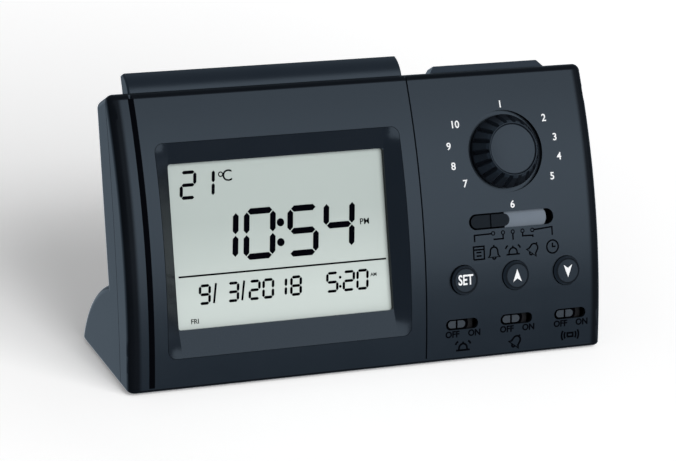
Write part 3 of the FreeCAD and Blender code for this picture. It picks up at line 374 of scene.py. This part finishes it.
# Painted shadow under the mode slide's pads, on the shutter's own grey.
shutter_grey = dark_left_of(moulded("shutter_grey_shadowed_finish", (0.09, 0.112, 0.14),
                                    (0.11, 0.132, 0.16), 0.5), SHUTTER_DARK_TO)
print_white = moulded("print_white_finish", (0.70, 0.71, 0.72), (0.76, 0.77, 0.78), 0.55, 0.1,
                      12000, 0.2)
# Painted shade: the engraved lines, icons and words are near-black marks without sheen in place of cuts,
# and the same dark paints the shade in the side groove.
engraving_shade_dark = moulded("engraving_painted_shade_finish", (0.0004, 0.0006, 0.0012), (0.0007, 0.0009, 0.0016),
                        0.6, specular=0.02)
figure_dark = moulded("figure_finish", (0.001, 0.001, 0.002), (0.0015, 0.0015, 0.003), 0.6, 0.02,
                      specular=0.0)
rubber_black = moulded("rubber_finish", (0.012, 0.012, 0.012), (0.02, 0.02, 0.02), 0.75, 0.3, 4000)
switch_black = moulded("switch_finish", (0.004, 0.004, 0.0045), (0.008, 0.008, 0.009), 0.5, specular=0.2)
board_green = moulded("board_finish", (0.02, 0.11, 0.045), (0.03, 0.15, 0.06), 0.35)
frame_grey = moulded("frame_finish", (0.35, 0.35, 0.34), (0.42, 0.42, 0.4), 0.5)
diffuser_white = moulded("diffuser_finish", (0.7, 0.72, 0.7), (0.78, 0.8, 0.78), 0.4)
cell_grey = moulded("cell_finish", (0.16, 0.17, 0.19), (0.2, 0.21, 0.24), 0.3)
steel = metal_material()
display_glass = glass_material()

FINISHES = {
    "case_black": case_black, "bezel_black": bezel_black, "key_black": key_black,
    "knob_grey": knob_black, "shutter_grey": shutter_grey, "display_glass": display_glass,
    "diffuser_white": diffuser_white, "frame_grey": frame_grey, "board_green": board_green,
    "switch_black": switch_black, "rubber_black": rubber_black, "screw_steel": steel,
    "cell_metal": cell_grey, "speaker_black": switch_black,
}

# Nodes whose finish isn't that of their slot
NODE_FINISHES = {
    "mode_slide": pad_and_rim_shade_dark, "left_alarm_slide": slide_highlight_grey, "middle_alarm_slide": slide_highlight_grey,
    # Painted shade: the control board takes the switch black, so that it reads dark through the slots.
    "right_alarm_slide": slide_highlight_grey, "control_board": switch_black, "top_button": top_key_lit_black,
}


def dress_nodes():
    for entry in frame["record"]["subparts"]:
        node = bpy.data.objects[entry["node"]]
        node.data.materials.clear()
        finish = NODE_FINISHES.get(entry["node"], FINISHES[entry["material_slot"]])
        node.data.materials.append(finish)


# Artwork on the face: strokes, filled shapes and type, each a thin closed solid

MITRE_LIMIT = 0.7
TYPE_EM = 1.42


def link_mesh(mesh_builder, name, material, body):
    mesh = bpy.data.meshes.new(name)
    bmesh.ops.recalc_face_normals(mesh_builder, faces=mesh_builder.faces)
    mesh_builder.to_mesh(mesh)
    mesh_builder.free()
    piece = bpy.data.objects.new(name, mesh)
    bpy.context.scene.collection.objects.link(piece)
    mesh.materials.append(material)
    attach(piece, body)
    return piece


def add_plate(builder, outline, place, thick):
    """A thin prism over a flat outline given in the artwork's own two directions."""
    low = [builder.verts.new(place(x, y, 0.0)) for x, y in outline]
    high = [builder.verts.new(place(x, y, thick)) for x, y in outline]
    builder.faces.new(high)
    builder.faces.new(list(reversed(low)))
    count = len(outline)
    for index in range(count):
        after = (index + 1) % count
        builder.faces.new((low[index], low[after], high[after], high[index]))


def stroke_outline(points, width):
    """Both edges of a line of even width, with mitred corners."""
    left, right = [], []
    count = len(points)
    for index, point in enumerate(points):
        here = Vector(point)
        before = Vector(points[index - 1]) if index > 0 else None
        after = Vector(points[index + 1]) if index < count - 1 else None
        ways = [way.normalized() for way in ((here - before) if before else None,
                                             (after - here) if after else None) if way]
        way = sum(ways, Vector((0, 0))).normalized()
        side = Vector((-way.y, way.x))
        square = Vector((-ways[0].y, ways[0].x))
        reach = width / 2 / max(side.dot(square), MITRE_LIMIT)
        left.append(here + side * reach)
        right.append(here - side * reach)
    return left + right[::-1]


def add_stroke(builder, points, width, place):
    outline = stroke_outline(points, width)
    count = len(points)
    for index in range(count - 1):
        quad = [outline[index], outline[index + 1], outline[-index - 2], outline[-index - 1]]
        add_plate(builder, quad, place, INK)


def ring_points(x, y, radius, start=0.0, end=360.0, steps=24):
    turn = [math.radians(start + (end - start) * k / steps) for k in range(steps + 1)]
    return [(x + radius * math.cos(t), y + radius * math.sin(t)) for t in turn]


def add_type(text, x, s, height, place, material, body, name, narrow=1.0, bold=0.0):
    """Plain sans type, turned into a thin mesh and laid on the surface."""
    curve = bpy.data.curves.new(name + "_type", "FONT")
    curve.body = text
    curve.size = height * TYPE_EM
    curve.align_x = "CENTER"
    curve.align_y = "CENTER"
    curve.extrude = INK / 2
    curve.offset = bold
    curve.resolution_u = 4
    source = bpy.data.objects.new(name + "_source", curve)
    bpy.context.scene.collection.objects.link(source)
    bpy.context.view_layer.update()
    settled = source.evaluated_get(bpy.context.evaluated_depsgraph_get())
    mesh = bpy.data.meshes.new_from_object(settled)
    bpy.data.objects.remove(source)
    mesh.name = name
    mesh.materials.clear()
    mesh.materials.append(material)
    for vertex in mesh.vertices:
        local = vertex.co.copy()
        lift = INK if local.z > 0 else 0.0
        vertex.co = place(x + local.x * narrow, s + local.y, lift)
    piece = bpy.data.objects.new(name, mesh)
    bpy.context.scene.collection.objects.link(piece)
    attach(piece, body)


# Display figures

SEGMENTS = {
    "0": "abcdef", "1": "bc", "2": "abged", "3": "abgcd", "4": "fgbc",
    "5": "afgcd", "6": "afgedc", "7": "abc", "8": "abcdefg", "9": "abcdfg",
}
FIGURE_SLANT = 0.085
SEGMENT_GAP = 0.12


def segment_outline(key, width, height, bar):
    """One bar of a seven segment figure, with pointed ends, round the figure's middle."""
    half_w = (width - bar) / 2
    half_h = (height - bar) / 2
    tip = bar / 2
    gap = bar * SEGMENT_GAP
    flat = {"a": half_h, "g": 0.0, "d": -half_h}
    if key in flat:
        y = flat[key]
        x = half_w - gap
        return [(-x, y), (-x + tip, y + tip), (x - tip, y + tip), (x, y),
                (x - tip, y - tip), (-x + tip, y - tip)]
    x = half_w if key in "bc" else -half_w
    low, high = (gap, half_h - gap) if key in "bf" else (-half_h + gap, -gap)
    return [(x, low), (x - tip, low + tip), (x - tip, high - tip), (x, high),
            (x + tip, high - tip), (x + tip, low + tip)]


def add_figure(builder, digit, x, y, width, height, bar):
    def place(u, v, lift):
        return glass_point(x + u + FIGURE_SLANT * v, y + v, lift)
    for key in SEGMENTS[digit]:
        add_plate(builder, segment_outline(key, width, height, bar), place, INK)


def add_dot(builder, x, y, radius):
    add_plate(builder, ring_points(x, y, radius)[:-1], glass_point, INK)


# Figures on the display: digit, middle x and middle rise in mm
TEMPERATURE_ROW = (("2", -52.2, 47.7), ("1", -46.6, 47.8))
HOUR_ROW = (("1", -42.9, 32.7), ("0", -31.5, 32.6), ("5", -18.1, 32.4), ("4", -6.8, 33.1))
DATE_ROW = (("9", -49.4, 16.9), ("3", -40.75, 16.9), ("2", -34.2, 16.9), ("0", -30.0, 16.95),
            ("1", -26.0, 17.0), ("8", -21.4, 17.0))
ALARM_ROW = (("5", -10.1, 17.0), ("2", -4.9, 17.0), ("0", -0.6, 17.0))
HOUR_DOTS = ((-24.9, 35.2), (-25.2, 29.6))
ALARM_DOTS = ((-7.55, 18.2), (-7.7, 15.6))
HOUR_DOT = 1.15 * MM
ALARM_DOT = 0.42 * MM

# Width, height and bar of each size of figure
SMALL_FIGURE = (3.7 * MM, 5.7 * MM, 0.8 * MM)
ALARM_FIGURE = (3.9 * MM, 5.9 * MM, 0.78 * MM)
MIDDLE_FIGURE = (5.0 * MM, 8.0 * MM, 0.95 * MM)
LARGE_FIGURE = (9.8 * MM, 14.4 * MM, 1.75 * MM)

# Slashes of the date, the line across the display, and the degree ring
SLASH_X = (-46.3, -37.7)
SLASH_FOOT, SLASH_TOP = 14.3, 19.8
SLASH_LEAN = 0.5
SLASH_WIDTH = 0.62 * MM
RULE_LEFT, RULE_RIGHT, RULE_RISE = -56.9, 7.3, 22.3
RULE_WIDTH = 0.5 * MM
DEGREE = (-42.2 * MM, 50.0 * MM, 0.62 * MM)
DEGREE_WIDTH = 0.32 * MM

# Type on the display: text, middle x, middle rise, height, and the piece's name
DISPLAY_TYPE = (("C", -40.2, 49.4, 3.2, "degree_letter"), ("PM", 1.25, 33.4, 1.7, "afternoon_mark"),
                ("AM", 3.0, 18.1, 0.95, "morning_mark"), ("FRI", -52.9, 9.6, 1.35, "weekday_mark"))
DISPLAY_TYPE_BOLD = 0.03 * MM


def add_row(builder, row, size):
    width, height, bar = size
    for digit, x, y in row:
        add_figure(builder, digit, x * MM, y * MM, width, height, bar)


def display_figures():
    builder = bmesh.new()
    add_row(builder, TEMPERATURE_ROW, MIDDLE_FIGURE)
    add_row(builder, HOUR_ROW, LARGE_FIGURE)
    add_row(builder, DATE_ROW, SMALL_FIGURE)
    add_row(builder, ALARM_ROW, ALARM_FIGURE)
    for dots, radius in ((HOUR_DOTS, HOUR_DOT), (ALARM_DOTS, ALARM_DOT)):
        for x, y in dots:
            add_dot(builder, x * MM, y * MM, radius)
    for x in SLASH_X:
        ends = [((x - SLASH_LEAN) * MM, SLASH_FOOT * MM), ((x + SLASH_LEAN) * MM, SLASH_TOP * MM)]
        add_stroke(builder, ends, SLASH_WIDTH, glass_point)
    rule = [(RULE_LEFT * MM, RULE_RISE * MM), (RULE_RIGHT * MM, RULE_RISE * MM)]
    add_stroke(builder, rule, RULE_WIDTH, glass_point)
    add_stroke(builder, ring_points(*DEGREE), DEGREE_WIDTH, glass_point)
    link_mesh(builder, "display_figures", figure_dark, "root")
    for text, x, y, height, name in DISPLAY_TYPE:
        add_type(text, x * MM, y * MM, height * MM, glass_point, figure_dark, "root",
                 name, bold=DISPLAY_TYPE_BOLD)


# Printing and engraving on the face

# Numbers round the knob: steps in mm from its middle, to the right and up
DIAL_MARKS = ((0.2, 13.6), (13.8, 8.7), (16.6, 2.9), (17.3, -2.8), (14.4, -8.4),
              (0.6, -15.6), (-14.1, -8.6), (-17.3, -3.4), (-18.1, 2.4), (-15.3, 8.6))
DIAL_TYPE = 2.1 * MM
DIAL_BOLD = 0.05 * MM


def dial_numbers():
    for index, (dx, ds) in enumerate(DIAL_MARKS):
        text = str(index + 1)
        add_type(text, KNOB_X + dx * MM, KNOB_S + ds * MM, DIAL_TYPE, face_point, print_white,
                 "root", "dial_number_" + text, bold=DIAL_BOLD)


MODE_STOPS = (39.3, 42.5, 45.7, 48.9, 52.1)
MODE_STOP_S = 36.25
MODE_STOP_RING = 0.52 * MM
MODE_STOP_WIDTH = 0.3 * MM
LINE = 0.45 * MM


def mode_lines(builder):
    def line(points):
        add_stroke(builder, [(x * MM, s * MM) for x, s in points], LINE, face_point)
    for x in MODE_STOPS:
        ring = ring_points(x * MM, MODE_STOP_S * MM, MODE_STOP_RING, steps=14)
        add_stroke(builder, ring, MODE_STOP_WIDTH, face_point)
    line([(38.7, 36.2), (33.2, 36.1), (33.2, 34.2)])
    line([(42.5, 35.6), (42.5, 34.5), (39.3, 34.5)])
    line([(45.7, 35.6), (45.7, 33.9)])
    line([(48.9, 35.6), (48.9, 34.8), (52.2, 34.7), (52.2, 34.2)])
    line([(52.7, 36.3), (58.6, 36.7), (58.6, 34.3)])


def icon_pen(builder, x, s, turn, width):
    """Returns a function that draws a line in the icon's own millimetres."""
    spin = Matrix.Rotation(math.radians(turn), 2)

    def line(points):
        placed = []
        for u, v in points:
            spot = spin @ Vector((u * MM, v * MM))
            placed.append((x * MM + spot.x, s * MM + spot.y))
        add_stroke(builder, placed, width * MM, face_point)
    return line


def calendar_icon(line):
    line([(-1.7, -1.8), (1.7, -1.8), (1.7, 1.9), (-1.7, 1.9), (-1.7, -1.8)])
    line([(-1.7, 1.0), (1.7, 1.0)])
    line([(-0.8, 0.2), (0.8, 0.2)])
    line([(-0.8, -0.8), (0.8, -0.8)])


def bell_icon(line):
    line(ring_points(0, 0.2, 1.2, 0, 180, 12))
    line([(1.2, 0.2), (1.3, -0.9), (1.9, -1.5), (-1.9, -1.5), (-1.3, -0.9), (-1.2, 0.2)])
    line(ring_points(0, -1.6, 0.5, 180, 360, 8))
    line([(0, 1.4), (0, 2.0)])


def arch_icon(line):
    line(ring_points(0, -0.6, 1.3, 0, 180, 12))
    line([(-2.2, -1.2), (2.2, -1.2)])
    line([(-1.3, -0.6), (-1.3, -1.2)])
    line([(1.3, -0.6), (1.3, -1.2)])
    line([(0, 0.7), (0, 1.3)])
    line(ring_points(-1.2, 0.3, 1.2, 110, 170, 6))
    line(ring_points(1.2, 0.3, 1.2, 10, 70, 6))


def clock_icon(line):
    line(ring_points(0, 0, 1.9))
    line([(0, 1.1), (0, 0), (1.0, 0)])


def wave_icon(line):
    line([(-0.9, -0.5), (0.9, -0.5), (0.9, 0.6), (-0.9, 0.6), (-0.9, -0.5)])
    for reach in (1.9, 2.8):
        line(ring_points(0, 0, reach, 150, 210, 8))
        line(ring_points(0, 0, reach, -30, 30, 8))


# Signs under the slides: middle x in mm, drawing and turn in degrees
MODE_ICONS = ((34.4, calendar_icon, 0), (39.3, bell_icon, 0), (45.5, arch_icon, 0),
              (52.3, bell_icon, -35), (58.5, clock_icon, 0))
SWITCH_ICONS = ((28.9, arch_icon, 0), (46.3, bell_icon, -35), (64.1, wave_icon, 0))
# Each row's place along the face and line width, in mm
ICON_ROWS = ((MODE_ICONS, 30.9, 0.46), (SWITCH_ICONS, 4.3, 0.55))

# OFF and ON: steps in mm from the slide's middle, then their place, height and weight
SWITCH_WORDS = (("OFF", -3.1), ("ON", 4.0))
WORD_S = 7.9 * MM
WORD_HEIGHT = 1.8 * MM
WORD_BOLD = 0.09 * MM

# Painted shade over the groove at the left of the face: a thin dark strip along it
SIDE_GROOVE_X = -67.75 * MM
SIDE_GROOVE_WIDTH = 1.7 * MM
SIDE_GROOVE_FOOT = 1.4 * MM
SIDE_GROOVE_TOP = 82.3 * MM
SIDE_GROOVE_STEPS = 24


def engraving():
    builder = bmesh.new()
    mode_lines(builder)
    for row, s, width in ICON_ROWS:
        for x, draw, turn in row:
            draw(icon_pen(builder, x, s, turn, width))
    link_mesh(builder, "engraved_lines", engraving_shade_dark, "root")
    # Painted shade: a dark strip along the side groove.
    builder = bmesh.new()
    reach = SIDE_GROOVE_TOP - SIDE_GROOVE_FOOT
    rows = [SIDE_GROOVE_FOOT + reach * k / SIDE_GROOVE_STEPS for k in range(SIDE_GROOVE_STEPS + 1)]
    add_stroke(builder, [(SIDE_GROOVE_X, s) for s in rows], SIDE_GROOVE_WIDTH, face_point)
    link_mesh(builder, "side_groove_painted_shade", engraving_shade_dark, "root")
    for index, x in enumerate(SWITCH_X):
        for text, dx in SWITCH_WORDS:
            name = text.lower() + "_mark_" + str(index + 1)
            add_type(text, x + dx * MM, WORD_S, WORD_HEIGHT, face_point, engraving_shade_dark,
                     "root", name, bold=WORD_BOLD)


# Marks on the three keys, and a painted shade ring round the top of each key

KEYS = ("set_key", "up_key", "down_key")
SET_HEIGHT = 2.9 * MM
SET_NARROW = 0.75
SET_BOLD = 0.08 * MM
ARROW_LEFT, ARROW_TIP, ARROW_RIGHT, ARROW_NOTCH = (-1.4, -1.8), (0, 1.9), (1.4, -1.8), (0, -0.8)
KEY_SHADE_RING_RADIUS = 3.55 * MM
KEY_SHADE_RING_WIDTH = 0.5 * MM
KEY_SHADE_RING_STEPS = 48


def button_marks_and_shade():
    place = flat_map(BUTTON_X[0], BUTTON_S, BUTTON_PROUD)
    add_type("SET", BUTTON_X[0], BUTTON_S, SET_HEIGHT, place, print_white, KEYS[0],
             "set_mark", narrow=SET_NARROW, bold=SET_BOLD)
    for index, flip in ((1, 1), (2, -1)):
        place = flat_map(BUTTON_X[index], BUTTON_S, BUTTON_PROUD)
        builder = bmesh.new()
        for half in ((ARROW_LEFT, ARROW_NOTCH, ARROW_TIP), (ARROW_NOTCH, ARROW_RIGHT, ARROW_TIP)):
            outline = [(BUTTON_X[index] + x * MM, BUTTON_S + flip * y * MM) for x, y in half]
            add_plate(builder, outline, place, INK)
        link_mesh(builder, "arrow_mark_" + str(index), print_white, KEYS[index])
    # Painted shade: a dark ring round each key's top, where its edge falls into shade.
    for index, body in enumerate(KEYS):
        place = flat_map(BUTTON_X[index], BUTTON_S, BUTTON_PROUD)
        builder = bmesh.new()
        ring = ring_points(BUTTON_X[index], BUTTON_S, KEY_SHADE_RING_RADIUS, steps=KEY_SHADE_RING_STEPS)
        add_stroke(builder, ring, KEY_SHADE_RING_WIDTH, place)
        link_mesh(builder, "key_rim_shade_" + str(index), pad_and_rim_shade_dark, body)


# Knob cap: a shallow dish inside a thin rounded rim, over the flat top of the knob

KNOB_CAP_RADIUS = 7.4 * MM
KNOB_RIM_RADIUS = 7.6 * MM
KNOB_RIM_THICK = 0.22 * MM
KNOB_CAP_LIFT = 0.02 * MM
KNOB_DISH = 0.5 * MM
KNOB_STEPS = 64
DISH_STEPS = 12
RIM_STEPS = 12


def knob_place():
    """Places by radius, turn and height over the flat top of the knob."""
    up, out = face_up(KNOB_S), face_out(KNOB_S)
    base = face_point(KNOB_X, KNOB_S, KNOB_PROUD)

    def place(radius, turn, lift):
        across = Vector((radius * math.cos(turn), 0, 0))
        return base + across + up * (radius * math.sin(turn)) + out * lift
    return place


def add_lathe(builder, profile, place, steps, closed=True):
    """Turns a profile of radius and height round the knob's axis; returns its circles."""
    rings = []
    for radius, lift in profile:
        turns = [2 * math.pi * k / steps for k in range(steps)]
        rings.append([builder.verts.new(place(radius, turn, lift)) for turn in turns])
    pairs = list(zip(rings, rings[1:]))
    if closed:
        pairs.append((rings[-1], rings[0]))
    for first, second in pairs:
        for k in range(steps):
            after = (k + 1) % steps
            builder.faces.new((first[k], first[after], second[after], second[k]))
    return rings


def knob_cap():
    place = knob_place()
    builder = bmesh.new()
    dish = [(KNOB_CAP_RADIUS * k / DISH_STEPS, KNOB_CAP_LIFT + KNOB_DISH * (k / DISH_STEPS) ** 2)
            for k in range(1, DISH_STEPS + 1)]
    foot = [(KNOB_CAP_RADIUS, 0.0), (KNOB_CAP_RADIUS / DISH_STEPS, 0.0)]
    circles = add_lathe(builder, dish + foot, place, KNOB_STEPS, closed=False)
    builder.faces.new(circles[0])
    builder.faces.new(circles[-1])
    cap = link_mesh(builder, "knob_dish", knob_black, "knob")
    builder = bmesh.new()
    turns = [2 * math.pi * k / RIM_STEPS for k in range(RIM_STEPS)]
    ring = [(KNOB_RIM_RADIUS + KNOB_RIM_THICK * math.cos(t), KNOB_DISH + KNOB_RIM_THICK * math.sin(t))
            for t in turns]
    add_lathe(builder, ring, place, KNOB_STEPS)
    rim = link_mesh(builder, "knob_rim", knob_black, "knob")
    for piece in (cap, rim):
        for polygon in piece.data.polygons:
            polygon.use_smooth = True


# Studio

# Turn and rise in degrees, distance, width and height in metres, and watts
KEY_SOFTBOX = (20, 33, 1.3, 1.4, 1.1, 16.8)
SHADOW_LAMP = (4, 42, 1.3, 0.3, 0.3, 3.0)
LAMP_AIM = Vector((0, 0, 0.045))
FILL_LEVEL = 0.22
FLOOR_REACH = 3.0
FLOOR_GLOW = 0.24
BACKDROP_GLOW = 0.62
GLOW_NEAR = 0.10
GLOW_FAR = 0.45


def aim(thing, target):
    way = Vector(target) - thing.location
    thing.rotation_mode = "QUATERNION"
    thing.rotation_quaternion = way.to_track_quat("-Z", "Y")


def make_camera():
    turn = math.radians(CAMERA_TURN)
    rise = math.radians(CAMERA_RISE)
    roll = math.radians(CAMERA_ROLL)
    back = Vector((-math.sin(turn) * math.cos(rise), -math.cos(turn) * math.cos(rise),
                   math.sin(rise)))
    right = Vector((math.cos(turn), -math.sin(turn), 0))
    up = back.cross(right)
    rolled_right = right * math.cos(roll) - up * math.sin(roll)
    rolled_up = right * math.sin(roll) + up * math.cos(roll)
    data = bpy.data.cameras.new("photo_camera")
    data.sensor_width = SENSOR_WIDTH
    data.lens = FOCAL_PIXELS * SENSOR_WIDTH / IMAGE_WIDTH
    data.clip_start = 0.01
    camera = bpy.data.objects.new("photo_camera", data)
    bpy.context.scene.collection.objects.link(camera)
    spot = Vector(CAMERA_AIM) + Vector((0, SHIFT_Y, 0)) + back * CAMERA_DISTANCE
    axes = Matrix((rolled_right, rolled_up, back)).transposed().to_4x4()
    camera.matrix_world = Matrix.Translation(spot) @ axes
    bpy.context.scene.camera = camera


def softbox(name, turn, rise, distance, width, height, power):
    """A rectangular soft light; the turn is to the right of the clock's front."""
    data = bpy.data.lights.new(name, "AREA")
    data.shape = "RECTANGLE"
    data.size = width
    data.size_y = height
    data.energy = power
    lamp = bpy.data.objects.new(name, data)
    bpy.context.scene.collection.objects.link(lamp)
    a, e = math.radians(turn), math.radians(rise)
    way = Vector((math.sin(a) * math.cos(e), -math.cos(a) * math.cos(e), math.sin(e)))
    lamp.location = LAMP_AIM + way * distance
    aim(lamp, LAMP_AIM)
    return lamp


def make_floor():
    """A pale floor that glows toward the camera, so that it reads white beyond the shadow."""
    builder = bmesh.new()
    corners = ((-1, -1), (1, -1), (1, 1), (-1, 1))
    builder.faces.new([builder.verts.new((x * FLOOR_REACH, y * FLOOR_REACH, 0)) for x, y in corners])
    mesh = bpy.data.meshes.new("floor")
    builder.to_mesh(mesh)
    builder.free()
    floor = bpy.data.objects.new("floor", mesh)
    bpy.context.scene.collection.objects.link(floor)
    material, tree, shader = new_material("floor_finish")
    cloud = noise_node(tree, 3)
    tone = ramp_node(tree, cloud.outputs["Fac"], (0.95, 0.95, 0.95), (0.97, 0.97, 0.97))
    tree.links.new(tone.outputs["Color"], shader.inputs["Base Color"])
    shader.inputs["Roughness"].default_value = 0.9
    shader.inputs["Specular IOR Level"].default_value = 0.1
    path = tree.nodes.new("ShaderNodeLightPath")
    place = tree.nodes.new("ShaderNodeTexCoord")
    away = tree.nodes.new("ShaderNodeVectorMath")
    away.operation = "LENGTH"
    tree.links.new(place.outputs["Object"], away.inputs[0])
    spread = range_node(tree, away.outputs["Value"], FLOOR_GLOW, BACKDROP_GLOW)
    spread.inputs["From Min"].default_value = GLOW_NEAR
    spread.inputs["From Max"].default_value = GLOW_FAR
    glow = math_node(tree, "MULTIPLY", path.outputs["Is Camera Ray"], spread.outputs["Result"])
    tree.links.new(glow, shader.inputs["Emission Strength"])
    shader.inputs["Emission Color"].default_value = (1, 1, 1, 1)
    mesh.materials.append(material)
    floor.visible_glossy = False


def make_world():
    """White for the camera and for what the clock mirrors or lets through; dim fill light."""
    world = bpy.data.worlds.new("studio")
    bpy.context.scene.world = world
    world.use_nodes = True
    tree = world.node_tree
    shade = tree.nodes["Background"]
    path = tree.nodes.new("ShaderNodeLightPath")
    hue = tree.nodes.new("ShaderNodeMix")
    hue.data_type = "RGBA"
    hue.inputs["A"].default_value = (1, 1, 1, 1)
    hue.inputs["B"].default_value = (*COOL, 1)
    tree.links.new(path.outputs["Is Glossy Ray"], hue.inputs["Factor"])
    tree.links.new(hue.outputs["Result"], shade.inputs["Color"])
    seen = math_node(tree, "MAXIMUM", path.outputs["Is Camera Ray"],
                     path.outputs["Is Transmission Ray"])
    seen = math_node(tree, "MAXIMUM", seen, path.outputs["Is Glossy Ray"])
    level = tree.nodes.new("ShaderNodeMix")
    level.inputs["A"].default_value = FILL_LEVEL
    level.inputs["B"].default_value = 1.0
    tree.links.new(seen, level.inputs["Factor"])
    tree.links.new(level.outputs["Result"], shade.inputs["Strength"])


def main():
    dress_nodes()
    display_figures()
    dial_numbers()
    engraving()
    button_marks_and_shade()
    knob_cap()
    make_floor()
    make_world()
    softbox("key_softbox", *KEY_SOFTBOX)
    softbox("shadow_lamp", *SHADOW_LAMP).visible_glossy = False
    make_camera()
    bpy.context.scene.view_settings.view_transform = "Standard"


main()
